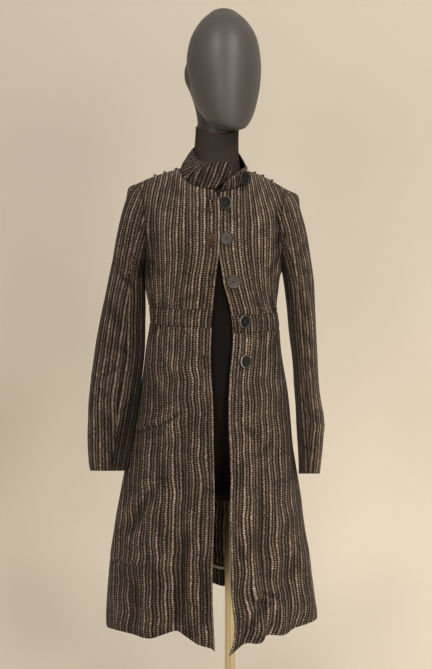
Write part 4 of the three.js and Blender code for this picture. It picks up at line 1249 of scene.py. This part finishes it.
def fromOuterLine(piece, points):
    # length round the sleeve from its outer line: arc * atan2(sideways / depth, 1 - inwards / half),
    # with both distances taken from that line, which runs on straight above the shoulder's corner
    line = sleevePoint(piece, np.full(260, math.tau), np.linspace(0, 2, 260))
    line = line[line[:, 2] < shoulderCorners[piece][1] - 22]
    lengths = -line[:, 2] * 1.02
    upwards = line[0] - line[34]
    upwards[1] = 0
    upwards /= np.linalg.norm(upwards)
    steps = np.linspace(sleeveValues["reach"]["top"], 2, 60)
    line = np.concatenate([line[0] + upwards * steps[:, None], line])
    lengths = np.concatenate([lengths[0] - steps, lengths])
    seenLine = line[:, [0, 2]]
    ahead = unit(np.gradient(seenLine, axis=0))
    flat = points.reshape(-1, 3)
    seen = flat[:, [0, 2]]
    k = squaredDistances(seen, seenLine).argmin(1)
    offset = seen - seenLine[k]
    inwards = offset[:, 0] * ahead[k, 1] - offset[:, 1] * ahead[k, 0]
    inwards *= np.sign(inwards[np.abs(inwards).argmax()])
    half = sleeveValues["outerHalf"][piece]
    sideways = np.abs(flat[:, 1] - line[k, 1]) / sleeveValues["outerDepth"]
    arc = sleeveValues["outerArc"] * np.arctan2(sideways, 1 - np.clip(inwards / half, 0, 2))
    return arc.reshape(points.shape[:2]), lengths[k].reshape(points.shape[:2])


def makeSleeve(piece, part):
    # half of the sleeve's tube, from one lengthwise seam to the other
    step = math.tau / 24
    gap = 0.006
    first, last = sleeveValues["seams"][part]
    columns = sleeveValues["columns"][part]
    theta = denseEnds(first * step + gap, last * step - gap, columns, (0.003, 0.009, 0.02, 0.035))
    theta, along = np.meshgrid(theta, denseEnds(0, 2, sleeveValues["rows"], (0.0004, 0.0013, 0.003, 0.007)))
    points = sleevePoint(piece, theta, along)
    x, z = points[..., 0], points[..., 2]
    fromStart, fromEnd, fromHole, fromCuff = edgeDistances(points)
    middleTurn = math.tau if part == "top" else math.pi
    onLine = np.take_along_axis(fromStart, np.abs(theta - middleTurn).argmin(1)[:, None], 1)
    plain = fromStart - onLine
    arc, down = (fromOuterLine if part == "top" else fromInnerLine)(piece, points)
    u = lerp(np.sign(theta - middleTurn) * arc, plain, ease(0.75, 1.3, along))
    v = lerp(-down, -fromHole + (fromHole - down)[-1:].mean(), ease(0.7, 1.25, along))
    seed = {"right": 61, "left": 65}[piece] + (0 if part == "top" else 2)
    relief = clothRelief(u, z, seed) * ease(0, 14, nearest(fromStart, fromEnd, fromHole, fromCuff))
    forward = np.sin(theta) > 0
    rows = np.where(forward, creaseRelief(x, z, sleeveValues["creases"][piece]),
                    creaseRelief(x, z, sleeveValues["backCreases"][piece]))
    relief += rows * ease(0.04, 0.30, np.abs(np.sin(theta)))
    easing = np.sin(u / 11 * math.tau) * 0.7 * np.exp(-(fromHole / 14) ** 2) * ease(0, 3, fromHole)
    relief += easing * (0.4 + 0.6 * ease(0, 1, np.cos(theta)))
    relief += seamGroove(fromStart, fromEnd, fromHole)
    turnUp = sleeveValues["turnUp"]
    relief += stitchLine(fromCuff, turnUp)
    under = seamValues["double"] * (1 - ease(turnUp - 1, turnUp + 0.6, fromCuff))
    uv = np.stack([u + sleeveValues["stripes"][piece], v], -1)
    outer, inner = [sleevePoint(piece, np.full_like(theta, turn), along) for turn in (0, np.pi)]
    fold, dark = underarmFold(piece, z, (1 + np.cos(theta)) * 60, hollowShares["sleeve"][piece])
    relief += fold * 0.1
    # the side towards the dress lies in its shade
    outerTone, innerTone = between(sleeveValues["tones"][piece], z)
    start = lerp(0.35, -0.1 if piece == "right" else 0.35, ease(895, 825, z))
    shade = outerTone * lerp(1, innerTone, ease(start, start + 0.35, -np.cos(theta))) * dark
    return makeCloth(f"sleeve_{piece}_{part}", points, uv, (outer + inner) / 2, relief, under, shade)


def neckline(count=80):
    # the neckline's points and their running length: right front, round the back, left front
    rise = 1 - (1 - dress["necklineLevel"]) * (1 - np.linspace(0, 1, count)) ** 2
    right, left = [bodicePoint(piece, edgeAngle(piece, rise), rise) for piece in ("right", "left")]
    s = np.linspace(neckShare, 1 - neckShare, count)
    line = np.concatenate([right, bodiceBackPoint(s, np.ones_like(s)), left[::-1]])
    return line, np.concatenate([[0], np.cumsum(np.linalg.norm(np.diff(line, axis=0), axis=1))])


neckLine, neckLengths = neckline()
print(f"neckline {neckLengths[-1]:.0f} mm")

collarValues = {"columns": 190, "rows": 34, "bulge": 3.5, "endBow": 15.0, "endLength": 0.1}


def collarPoint(along, up):
    # from the neckline to the collar's top edge, with a slight outward bow
    at = along * neckLengths[-1]
    base = np.stack([np.interp(at, neckLengths, neckLine[:, k]) for k in range(3)],
        -1) + np.array([0, 0, 0.7])
    top = np.stack(between(collarRows, along), -1)
    point = base + (top - base) * up[..., None]
    outwards = np.stack([point[..., 0] + 33, point[..., 1] + 4, np.zeros_like(along)], -1)
    outwards /= np.linalg.norm(outwards, axis=-1, keepdims=True)
    point = point + outwards * (collarValues["bulge"] * np.sin(np.pi * up))[..., None]
    # the wearer's right end bows out to its free edge
    bow = collarValues["endBow"] * np.sin(np.pi * up) ** 0.8 * (1 - ease(0, collarValues["endLength"], along))
    return point + bow[..., None] * np.array([1.0, -0.12, 0.0])


def makeCollar():
    along, up = np.meshgrid(denseEnds(0, 1, collarValues["columns"], (0.0012, 0.004, 0.008, 0.014)),
                            denseEnds(0, 1, collarValues["rows"], (0.004, 0.014, 0.03, 0.05)))
    points = collarPoint(along, up)
    fromStart, fromEnd, fromNeck, fromTop = edgeDistances(points)
    u = lerp(-points[..., 0] - 3, along * neckLengths[-1], ease(0.1, 0.3, along))
    near = np.minimum(np.minimum(fromStart, fromEnd), np.minimum(fromNeck, fromTop))
    relief = softNoise(u / 30, up * 1.2, 81) * 0.6 * ease(0, 9, near)
    relief += 0.7 * np.sin(u / 9 * math.tau + 1.5 * np.sin(up * 4)) * (1 - ease(0.1, 0.2, along)) * ease(0,
        5, near)
    relief += seamGroove(fromNeck) + 0.5 * np.exp(-((fromTop - 4) / 3) ** 2)
    u = u + fromNeck * lerp(0.35, 1.05, ease(0.12, 0.24, along)) * (1 - ease(0.34, 0.84, along))
    uv = np.stack([u + 3.0, fromNeck], -1)
    inside = np.stack([np.full_like(along, -33), np.full_like(along, -4), points[..., 2] - 10], -1)
    # painted shade: the collar darker towards the wearer's right end
    shade = lerp(0.57, 0.82, ease(0.15, 0.5, along)) + 0.12 * ease(0.78, 0.86, along)
    made = clothShell("collar_cloth", points, uv, inside, relief, shade=shade)
    return dressPiece(made, stripedCloth, ["collar"]), points


bindingValues = {"height": 7.0, "thickness": 1.0}


def makeHemBinding():
    s, up = np.meshgrid(np.linspace(0.015, 0.985, 240), denseEnds(0, 1, 8, (0.02, 0.06, 0.1, 0.16)))
    share = 1 - (skirtValues["turnUp"] + bindingValues["height"] * up) / 640
    points = skirtPoint("back", s, share)
    ahead, behind = skirtPoint("back", s + 1e-3, share), skirtPoint("back", s - 1e-3, share)
    run = ahead - behind
    normal = np.stack([run[..., 1], -run[..., 0], np.zeros_like(s)], -1)
    normal /= np.linalg.norm(normal, axis=-1, keepdims=True)
    away = np.einsum("ijk,ijk->ij", normal, points - ringInside(points))
    normal *= np.sign(away)[..., None]
    points = points + normal * (np.minimum(reliefAt("skirt_back_cloth", points), 0) - 3.4)[..., None]
    u = running(points, 1)
    relief = 0.12 * np.sin(u / 5.5 * math.tau) * ease(0, 1.5,
        np.minimum(up, 1 - up) * bindingValues["height"])
    made = clothShell("hem_binding_back_tape", points, np.stack([u, up * 7], -1), ringInside(points), relief,
                      0.0, bindingValues["thickness"])
    return dressPiece(made, bindingTape, ["hem_binding_back"]), points


def measured(points):
    # width and length of the flat piece and its area, in metres
    a, b = running(points, 1)[:, -1], running(points, 0)[-1, :]
    across = np.diff(points, axis=1)[:-1]
    along = np.diff(points, axis=0)[:, :-1]
    area = np.linalg.norm(np.cross(across, along), axis=-1).sum()
    return round(float(a.max()) * mm, 3), round(float(b.max()) * mm, 3), round(float(area) * mm * mm, 4)


clothPieces = {}
for piece in ("right", "left"):
    clothPieces[f"bodice_{piece}_front"] = makeBodiceFront(piece)
clothPieces["bodice_back"] = makeBodiceBack()
print("bodice made")
clothPieces["band_right_front"] = makeBand("right", 70, 7.0)
clothPieces["band_left_front"] = makeBand("left", 64, 5.0)
clothPieces["band_back"] = makeBand("back", 130, 0.0)
clothPieces["skirt_right_front"] = makeSkirt("right", 2.0)
clothPieces["skirt_left_front"] = makeSkirt("left", 0.5)
clothPieces["skirt_back"] = makeSkirt("back", 2.5)
clothPieces["hem_binding_back"] = makeHemBinding()
print("band, skirt and hem binding made")
clothPieces["collar"] = makeCollar()
for piece in ("right", "left"):
    for part in ("top", "under"):
        clothPieces[f"sleeve_{piece}_{part}"] = makeSleeve(piece, part)
print("collar and sleeves made")
for label, (piece, points) in clothPieces.items():
    print(label, measured(points), len(piece.data.polygons) * 2, "triangles")


def ringTube(rings, capStart=None, capEnd=None, closedAlong=False):
    # rings: (count, around, 3); ends closed by a middle point
    count, around = rings.shape[:2]
    vertices = rings.reshape(-1, 3)
    index = np.arange(count * around).reshape(count, around)
    if closedAlong:
        index = np.concatenate([index, index[:1]], axis=0)
    faces = quads(index, wrap=True).tolist()
    extra = []
    for ring, middle, flip in ((index[0], capStart, True), (index[-1], capEnd, False)):
        if middle is not None:
            number = len(vertices) + len(extra)
            extra.append(middle)
            following = np.roll(ring, -1)
            order = [following, ring] if flip else [ring, following]
            faces += np.stack([order[0], order[1], np.full(around, number)], -1).tolist()
    if extra:
        vertices = np.concatenate([vertices, np.array(extra, float)])
    return vertices, faces


def outwardFaces(vertices, faces):
    # flips all faces when the closed shape's volume comes out negative
    volume = 0.0
    vertices = np.asarray(vertices)
    for size in (3, 4):
        group = np.array([f for f in faces if len(f) == size])
        if len(group):
            for second in range(1, size - 1):
                a, b, c = vertices[group[:, 0]], vertices[group[:, second]], vertices[group[:, second + 1]]
                volume += np.einsum("ij,ij->i", a, np.cross(b, c)).sum()
    return faces if volume > 0 else [list(f)[::-1] for f in faces]


def turnedRings(profile, segments, place, axis, up=None):
    # profile of radius and height turned about the axis
    axis = np.array(axis, float) / np.linalg.norm(axis)
    up = np.array([0, 0, 1.0]) if up is None else np.array(up, float)
    side = np.cross(up, axis) if abs(axis @ up) < 0.95 else np.cross([0, 1.0, 0], axis)
    side /= np.linalg.norm(side)
    other = np.cross(axis, side)
    turn = np.arange(segments) * math.tau / segments
    radius, height = np.array(profile, float).T
    ring = np.cos(turn)[:, None] * side + np.sin(turn)[:, None] * other
    return np.array(place) + radius[:, None, None] * ring + height[:, None, None] * axis, side, other, axis


def frontPoint(piece, x, z):
    # the front's plain form at a place across and a height: bodice, band or skirt
    centre, half = between(bodyRows, z)[:2]
    angle = np.arcsin(np.clip((x - centre) / half, -1, 1))
    low = float(bandTop(piece, 0.0))
    high = shoulderHeight(dress["shoulderReach"] * np.sin(angle))
    upper = bodicePoint(piece, angle, np.clip((z - low) / (high - low), 0, 1))
    return np.where((z > low)[..., None], upper, ringPoint(piece, angle, z, 0.0))


def frontName(piece, z):
    low = float(bandTop(piece, 0.0))
    part = "bodice" if z > low else "band" if z > low - dress["bandHeight"] else "skirt"
    return f"{part}_{piece}_front_cloth"


def placeOn(surface, x, z, name, insidePoint, lift):
    # point on the cloth's outer face, and the direction outwards
    step = 1.5
    near = np.array([[x, z], [x + step, z], [x, z + step]])
    at = surface(near[:, 0], near[:, 1])
    normal = np.cross(at[1] - at[0], at[2] - at[0])
    normal /= np.linalg.norm(normal)
    if normal @ (at[0] - np.array(insidePoint)) < 0:
        normal = -normal
    return at[0] + normal * (float(reliefAt(name, at[:1])[0]) + lift), normal


buttonValues = {
    "radius": 14.4, "thickness": 4.0, "holeReach": 3.0, "threadWidth": 1.0, "threadHeight": 0.6,
    # x, height, turned towards the wearer's left, turned up, tone of the face (painted shade), tone of the
    # rim (painted highlight), side of the rim's painted highlight
    "front": [
        [-10.5, 1340, -0.34, -0.12, 0.05, 1.5, 1], [-5.5, 1267, -0.46, 0.02, 1.02, 0.9, 0],
        [4.5, 1178.5, -0.16, 0.03, 1.1, 0.9, 0],
        [25, 1093, 0.36, -0.10, 0.15, 2.8, -1], [27, 1009, 0.36, -0.10, 0.22, 4.0, -1],
    ],
    "collar": [23.5, 1392, 0.45, -0.05, 0.14, 0.6, -1],
}


def joinParts(parts):
    vertices, faces, base = [], [], 0
    for points, partFaces in parts:
        vertices.append(np.asarray(points))
        faces += [[v + base for v in f] for f in partFaces]
        base += len(points)
    return np.concatenate(vertices), faces


def makeFaces(name, parts, material, nodes=(), tone=None):
    vertices, faces = joinParts(parts)
    mesh = bpy.data.meshes.new(name)
    mesh.from_pydata((vertices * mm).tolist(), [], faces)
    mesh.validate()
    if tone is not None:
        tones = mesh.attributes.new("shade", "FLOAT", "POINT")
        tones.data.foreach_set("value", np.asarray(tone, np.float32))
    mesh.polygons.foreach_set("use_smooth", np.full(len(mesh.polygons), True))
    mesh.update()
    made = bpy.data.objects.new(name, mesh)
    scene.collection.objects.link(made)
    return dressPiece(made, material, nodes)


def makeButton(number, place, normal, turned, raised, faceTone, rimTone, paler):
    # a dished disc with a raised rim, and a short bar of thread over its middle
    r, t = buttonValues["radius"], buttonValues["thickness"]
    normal = normal + np.array([turned, 0, raised])
    normal /= np.linalg.norm(normal)
    # the low side of a tilted disc stays on the cloth
    place = place + normal * r * 0.8 * math.hypot(turned, raised)
    profile = np.array([
        [0.02, 0.2], [r - 3.2, 0.2], [r - 1.6, 0.5], [r - 0.5, 1.1], [r - 0.05, 1.9], [r - 0.05, t - 1.2],
        [r - 0.3, t - 0.5],
        [r - 0.8, t - 0.1], [r - 1.3, t], [r - 1.8, t - 0.15], [r - 2.4, t - 0.8], [r - 3.2, t - 1.35],
        [r - 4.5, t - 1.6], [r * 0.5, t - 1.75], [r * 0.3, t - 1.8], [0.02, t - 1.8],
    ])
    rings, side, other, axis = turnedRings(profile, 48, place, normal)
    onRim = ((profile[:, 0] > r - 2.2) & (profile[:, 1] > 0.6))[:, None]
    toSide = (rings[..., 0] - place[0]) / r * paler
    litSide = lerp(0.35 if paler else 1.0, 1.0, ease(-0.2, 0.7, toSide))  # painted highlight: the rim is paler on the side the light comes from
    tone = np.append(np.where(onRim, rimTone * litSide, faceTone).ravel(), [faceTone, faceTone])
    vertices, faces = ringTube(rings, place + axis * 0.2, place + axis * (t - 1.8))
    faces = outwardFaces(vertices - place, faces)
    makeFaces(f"button_{number}_disc", [(vertices, faces)], buttonPlastic, [f"button_{number}"],
        tone)
    # thread bar: a flattened arch
    run = np.linspace(-1, 1, 13)
    arch = np.stack([run * buttonValues["holeReach"], t - 2.0 + 0.8 * (1 - run ** 4)], -1)
    path = place + arch[:, :1] * side + arch[:, 1:] * axis
    turn = np.arange(10) * math.tau / 10
    rings = path[:, None] + buttonValues["threadWidth"] * np.cos(turn)[None, :, None] * other + (
        buttonValues["threadHeight"] * np.sin(turn)[None, :, None] * axis)
    vertices, faces = ringTube(rings, path[0], path[-1])
    makeFaces(f"button_{number}_thread", [(vertices, outwardFaces(vertices - path.mean(0), faces))],
        darkThread)


def makeButtons():
    x, z, *look = buttonValues["collar"]
    points, relief = reliefs["collar_cloth"]
    # the collar's point nearest to that place on its front
    away = np.hypot(points[:, 0] - x, points[:, 2] - z) + 0.3 * (points[:, 1] + 100)
    k = away.argmin()
    normal = np.array([0.42, -0.9, 0.12])
    place = np.array([x, points[k, 1], z]) + normal * (relief[k] + 1.5)
    makeButton(1, place, normal, *look)
    for number, (x, z, *look) in enumerate(buttonValues["front"], 2):
        place, normal = placeOn(lambda a, b: frontPoint("left", a, b), x, z, frontName("left", z),
            [-37, 0, z], 0.1)
        makeButton(number, place, normal, *look)


holeValues = {
    "width": 13.5, "height": 27.0, "lip": 0.7, "slit": 0.12,
    # x, height, the stripes' shift there (0: a plain dark strip is cut out), tone
    "places": [[-41, 1335, 1.2, 0.9], [-40, 1265, 0, 2.8], [-40, 1181, 1.2, 0.9], [-50, 1091, 7.0, 0.85],
    [-52, 1009, 2.0, 0.85]],
}


def makeButtonholes():
    # bound hole: two rolled lips side by side, with a dark slit between them
    made = {}
    v = holeValues
    for number, (x, z, shift, shade) in enumerate(v["places"], 1):
        s, t = np.meshgrid(denseEnds(-1, 1, 30, (0.01, 0.03, 0.06)),
            denseEnds(-1, 1, 34, (0.004, 0.014, 0.03)))
        px, pz = x + s * v["width"] / 2, z + t * v["height"] / 2
        points = frontPoint("right", px, pz)
        name = frontName("right", z)
        isOpen = np.clip(np.abs(s) / v["slit"], 0, 1)
        lips = v["lip"] * np.sqrt(np.clip(1 - (2 * np.abs(s) - 1) ** 2, 0, 1)) * (1 - t ** 8)
        relief = reliefAt(name, points) + 0.9 + lips - 0.25 * (1 - isOpen)
        across = between(edgeRows["right"], pz)[0] - px + shift if shift else 0.50 * weave["repeat"] + s * 0.4
        uv = np.stack([across, pz - z], -1)
        # painted shade: darker in the slit and towards the welt's border
        tone = shade * lerp(0.55, 1.0, isOpen) * lerp(0.4, 1.0,
            ease(0.0, 0.2, 1 - np.maximum(np.abs(s), np.abs(t))))
        inside = points * np.array([1, 0, 1])
        piece = clothShell(f"buttonhole_{number}_welt", points, uv, inside, relief, 0.0, 1.0, tone)
        dressPiece(piece, stripedCloth)
        made.setdefault(name, []).append(piece)
    return made


knotValues = {"radius": 3.6, "thread": 0.95, "right": [78, 103, 124], "left": [87, 105, 126]}


def makeKnots():
    # a trefoil of thread: ((2 + cos 3t) cos 2t, (2 + cos 3t) sin 2t, sin 3t), drawn tight
    number = 0
    t = np.linspace(0, math.tau, 61)[:-1]
    for piece in ("right", "left"):
        side = -1 if piece == "right" else 1
        for distance in knotValues[piece]:
            number += 1

            def lineAt(reach):
                z = float(shoulderHeight(np.float64(side * reach)))
                centre, half = between(bodyRows, z)[:2]
                return np.array([centre + half * side * reach / dress["shoulderReach"], dress["sideSeamY"],
                    z])

            along = (lineAt(distance + 3) - lineAt(distance - 3)) * side
            axis = np.array([-along[2], 0, along[0]])
            axis /= np.linalg.norm(axis)
            across = np.cross(axis, [0, 1.0, 0])
            size = (knotValues["radius"] - knotValues["thread"]) / 3
            radial = 2 + np.cos(3 * t)
            flat = np.stack([radial * np.cos(2 * t), radial * np.sin(2 * t), 0.9 * np.sin(3 * t)], -1) * size
            centre = lineAt(distance) + axis * 1.7
            path = centre + flat[:, :1] * across + flat[:, 1:2] * np.array([0, 1.0, 0]) + flat[:, 2:] * axis
            ahead = np.roll(path, -1, 0) - np.roll(path, 1, 0)
            ahead /= np.linalg.norm(ahead, axis=1, keepdims=True)
            first = np.cross(ahead, axis + 0 * ahead)
            first /= np.linalg.norm(first, axis=1, keepdims=True)
            second = np.cross(ahead, first)
            turn = np.arange(8) * math.tau / 8
            rings = path[:, None] + knotValues["thread"] * (
                np.cos(turn)[None, :, None] * first[:, None] + np.sin(turn)[None, :, None] * second[:, None])
            vertices, faces = ringTube(rings, closedAlong=True)
            faces = outwardFaces(vertices - centre, faces)
            makeFaces(f"knot_{number}_thread", [(vertices, faces)], darkThread, [f"knot_{number}"])


makeButtons()
welts = makeButtonholes()
makeKnots()
print("buttons, buttonholes and knots made")

formValues = {"rimRise": 19.0, "rimSlope": 11.0, "rimBow": 6.0, "columns": 112, "rows": 190, "headRows": 96,
    "headColumns": 112}


def smoothRows(rows, count):
    # the rows' places as a smooth run: the row number is the key
    table = np.array(rows, float)
    key = np.linspace(0, len(table) - 1, count)
    keyed = np.concatenate([np.arange(len(table))[:, None], table], axis=1)
    return np.stack(between(keyed, key), -1)


def makeTorso():
    table = smoothRows(formRows, formValues["rows"])
    angle = np.arange(formValues["columns"]) * math.tau / formValues["columns"]
    z, centre, half, front, back = [c[:, None] for c in table.T]
    depth = np.where(np.cos(angle) > 0, front, back)
    x = centre + half * np.sin(angle)
    y = -depth * np.cos(angle)
    seams = np.minimum(np.abs(x - centre) / 1.6, np.abs(y) / 1.6)
    groove = 0.5 * np.exp(-seams ** 2)
    scale = 1 - groove / np.maximum(np.hypot(x - centre, y), 1)
    rings = np.stack([centre + (x - centre) * scale, y * scale, z + 0 * x], -1)
    # the cover's top edge is higher at the sides and the back, and turns over a thin rim
    back = rings[..., 1] / 45
    raised = formValues["rimRise"] + formValues["rimSlope"] * back - formValues["rimBow"] * back ** 2
    rings[..., 2] += np.maximum(raised, 2) * ease(1425, 1483.6, z)
    outerRim = rings[-1]
    away = outerRim - np.array([-28.5, 0.5, 0])
    away[..., 2] = 0
    away /= np.linalg.norm(away, axis=-1, keepdims=True)
    turned = np.array([[0.4, 0.5], [1.0, 0.6], [1.6, -0.4], [1.9, -3.0]])  # inwards, upwards
    rim = outerRim - turned[:, :1, None] * away + turned[:, 1:, None] * np.array([0, 0, 1.0])
    rings = np.concatenate([rings, rim])
    vertices, faces = ringTube(rings, [-3, 0, 690], [-28.5, 0, 1483.8])
    faces = outwardFaces(vertices - np.array([-30, 0, 1000]), faces)
    makeFaces("form_torso_cover", [(vertices, faces)], formCover, ["form_torso"])


def headRings(rows):
    table = smoothRows(rows, formValues["headRows"])
    theta = np.arange(formValues["headColumns"]) * math.tau / formValues["headColumns"]
    at = [aroundRing(theta, *[table[:, c + off][:, None] for off in (0, 6, 3, 9)]) for c in range(3)]
    return np.stack(at, -1)


def domed(rings, top, steps=(0.93, 0.82, 0.68, 0.52, 0.34, 0.17)):
    # closes the last ring as a dome: height share = 1 - (width share) squared
    share = np.array(steps)[:, None, None]
    cap = top + (rings[-1] - top) * share
    cap[..., 2] = rings[-1][..., 2] + (top[2] - rings[-1][..., 2]) * (1 - share[..., 0] ** 2)
    return np.concatenate([rings, cap])


# tone: painted highlight on the bead
beadValues = {"radius": 1.2, "tone": 3.2}


def makeHead():
    face = domed(headRings(faceRows), np.array(headTop, float))
    chin = np.array([2.5, -57.0, 1493.2])
    face = domed(face[::-1], chin)[::-1]
    vertices, faces = ringTube(face, chin, headTop)
    # painted shade: the face darker at the wearer's right edge and towards the back
    tone = lerp(0.62, 1.0, ease(-94, -58, vertices[:, 0])) * lerp(1.0, 0.8, ease(20, 85, vertices[:, 1]))
    makeFaces("form_head_shell", [(vertices, outwardFaces(vertices - np.array([-15, 0, 1620]), faces))],
              headPaint, ["form_head"], tone)
    # a thin bead where the face's edge meets the neck, on the wearer's right; its paint is made paler as a
    # painted highlight
    normal = gridNormals(face, np.array([-15, 0, 1620.0]))[0]
    sideOn = np.abs(normal[..., 1] + 0.04) + 9 * (face[..., 0] > face[..., 0].mean(1, keepdims=True))
    edge = np.take_along_axis(face, sideOn.argmin(1)[:, None, None], 1)[:, 0]
    edge = edge[(edge[:, 2] < 1590) & (edge[:, 0] < -8)]
    smooth = np.ones(5) / 5
    edge = np.stack([np.convolve(np.pad(edge[:, k], 2, mode="edge"), smooth, "valid") for k in range(3)], -1)
    keys = np.linspace(0, len(edge) - 1, 90)
    edge = np.stack([np.interp(keys, np.arange(len(edge)), edge[:, k]) for k in range(3)], -1)
    away = edge - np.array([-12, 0, 1600])
    away /= np.linalg.norm(away, axis=1, keepdims=True)
    ahead = np.gradient(edge, axis=0)
    ahead /= np.linalg.norm(ahead, axis=1, keepdims=True)
    side = np.cross(ahead, away)
    turn = np.arange(12) * math.tau / 12
    width = beadValues["radius"] * np.sqrt(np.clip(np.sin(np.linspace(0.02, np.pi - 0.02, 90)), 0, 1))[:,
        None, None]
    bead = (edge + away * 0.1)[:, None] + width * (
        np.cos(turn)[None, :, None] * away[:, None] + np.sin(turn)[None, :, None] * side[:, None])
    vertices, faces = ringTube(bead, edge[0], edge[-1])
    makeFaces("form_jaw_bead", [(vertices, outwardFaces(vertices - edge.mean(0), faces))],
              headPaint, ["form_head"], np.full(len(vertices), beadValues["tone"]))
    top = np.array([-20, 10, 1668.0])
    neck = domed(headRings(neckRows), top)
    vertices, faces = ringTube(neck, [-28.5, 3, 1484.4], top)
    # painted shade: the neck darker everywhere but at the back
    makeFaces("form_neck_shell", [(vertices, outwardFaces(vertices - np.array([-24, 0, 1560]), faces))],
              headPaint, ["form_head"],
              lerp(0.42, 0.8, ease(40, 80, np.asarray(vertices)[:, 1])))


standValues = {"poleRadius": 11.75, "poleTop": 689.6, "baseRadius": 175.0, "baseThickness": 9.0,
    "bossRadius": 21.0, "bossTop": 34.0}


def makeStand():
    v = standValues
    profile = [[v["poleRadius"] - 0.3, v["bossTop"] + 0.4], [v["poleRadius"], v["bossTop"] + 1]]
    profile += [[v["poleRadius"], z] for z in np.linspace(60, v["poleTop"] - 1, 24)]
    profile += [[v["poleRadius"] - 0.4, v["poleTop"]]]
    rings = turnedRings(profile, 64, [0, 0, 0], [0, 0, 1])[0]
    vertices, faces = ringTube(rings, [0, 0, v["bossTop"] + 0.4], [0, 0, v["poleTop"]])
    makeFaces("pole_tube", [(vertices, outwardFaces(vertices, faces))], brassMetal, ["pole"])
    r, t, boss, top = v["baseRadius"], v["baseThickness"], v["bossRadius"], v["bossTop"]
    profile = [[r - 1.5, 0], [r - 0.5, 0.4], [r, 1.5], [r, t - 2.4], [r - 0.3, t - 1.2], [r - 1.1, t - 0.3],
        [r - 2.4, t]]
    profile += [[x, t] for x in np.linspace(r - 12, boss + 16, 14)]
    profile += [[boss + 8, t + 0.3], [boss + 4, t + 1.6], [boss + 1.4, t + 4], [boss + 0.2, t + 7],
        [boss, t + 10]]
    profile += [[boss, top - 3], [boss - 0.4, top - 1.4], [boss - 1.4, top - 0.4], [boss - 3, top]]
    rings = turnedRings(profile, 120, [0, 0, 0], [0, 0, 1])[0]
    vertices, faces = ringTube(rings, [0, 0, 0], [0, 0, top])
    makeFaces("base_plate_turned", [(vertices, outwardFaces(vertices - np.array([0, 0, 5]), faces))],
        brassMetal, ["base_plate"])


makeTorso()
makeHead()
makeStand()
print("form and stand made")

for label, (piece, points) in clothPieces.items():
    width, length, area = measured(points)
    if length < 0.01:
        continue  # the tape is less than 10 mm across



def makeStage():
    # floor, quarter-circle cove and wall in one sheet
    v = stageValues
    turn = np.linspace(0, math.pi / 2, 25)
    floor = np.stack([np.linspace(v["frontY"], v["wallY"] - v["coveRadius"], 12), np.zeros(12)], -1)
    cove = np.stack([v["wallY"] - v["coveRadius"] * (1 - np.sin(turn)),
        v["coveRadius"] * (1 - np.cos(turn))], -1)
    wall = np.stack([np.full(12, v["wallY"]), np.linspace(v["coveRadius"], v["height"], 12)], -1)
    line = np.concatenate([floor, cove[1:], wall[1:]])
    across = np.linspace(-v["halfWidth"], v["halfWidth"], 24)
    y, x = np.meshgrid(line[:, 0], across, indexing="ij")
    z = np.meshgrid(line[:, 1], across, indexing="ij")[0]
    points = np.stack([x, y, z], -1) / mm
    index = np.arange(x.size).reshape(x.shape)
    made = makeMesh("studio_sweep", points.reshape(-1, 3), quads(index))
    made.data.materials.append(makeStagePaint())


makeStage()

lightValues = {
    # name: place, aims at, width, height, power, colour
    "frontRight": ((2.1, -4.2, 2.4), (0.1, 0, 1.1), 1.5, 1.5, 96, (1.0, 0.93, 0.84)),
    "frontLeft": ((-1.9, -4.2, 2.3), (0, 0, 1.1), 1.5, 1.5, 46, (1.0, 0.93, 0.84)),
    "ceilingRight": ((1.35, -1.75, 3.6), (0, -0.2, 1.3), 0.4, 0.4, 42, (1.0, 0.94, 0.87)),
    "ceilingLeft": ((-1.35, -1.75, 3.6), (0, -0.2, 1.3), 0.4, 0.4, 34, (1.0, 0.94, 0.87)),
}


def makeLights():
    for name, (place, aim, width, height, power, colour) in lightValues.items():
        lamp = bpy.data.lights.new(name, "AREA")
        lamp.shape, lamp.size, lamp.size_y = "RECTANGLE", width, height
        lamp.energy, lamp.color = power, colour
        holder = bpy.data.objects.new(name, lamp)
        holder.location = place
        holder.rotation_euler = (Vector(aim) - Vector(place)).to_track_quat("-Z", "Y").to_euler()
        scene.collection.objects.link(holder)
    world = bpy.data.worlds.new("softRoom")
    world.use_nodes = True
    world.node_tree.nodes["Background"].inputs["Color"].default_value = (1.0, 0.94, 0.87, 1)
    world.node_tree.nodes["Background"].inputs["Strength"].default_value = 0.26
    scene.world = world


makeLights()

cameraValues = {"place": (-0.0315, -2.85, 1.350), "pitch": 5.9, "lens": 70.65}
lens = bpy.data.cameras.new("studio_camera")
lens.lens, lens.sensor_width = cameraValues["lens"], 36.0
camera = bpy.data.objects.new("studio_camera", lens)
camera.location = cameraValues["place"]
camera.rotation_euler = (math.radians(90 - cameraValues["pitch"]), 0, 0)
scene.collection.objects.link(camera)
scene.camera = camera
scene.view_settings.view_transform = "Standard"
print("stage, lights and camera made")

bpy.context.view_layer.update()
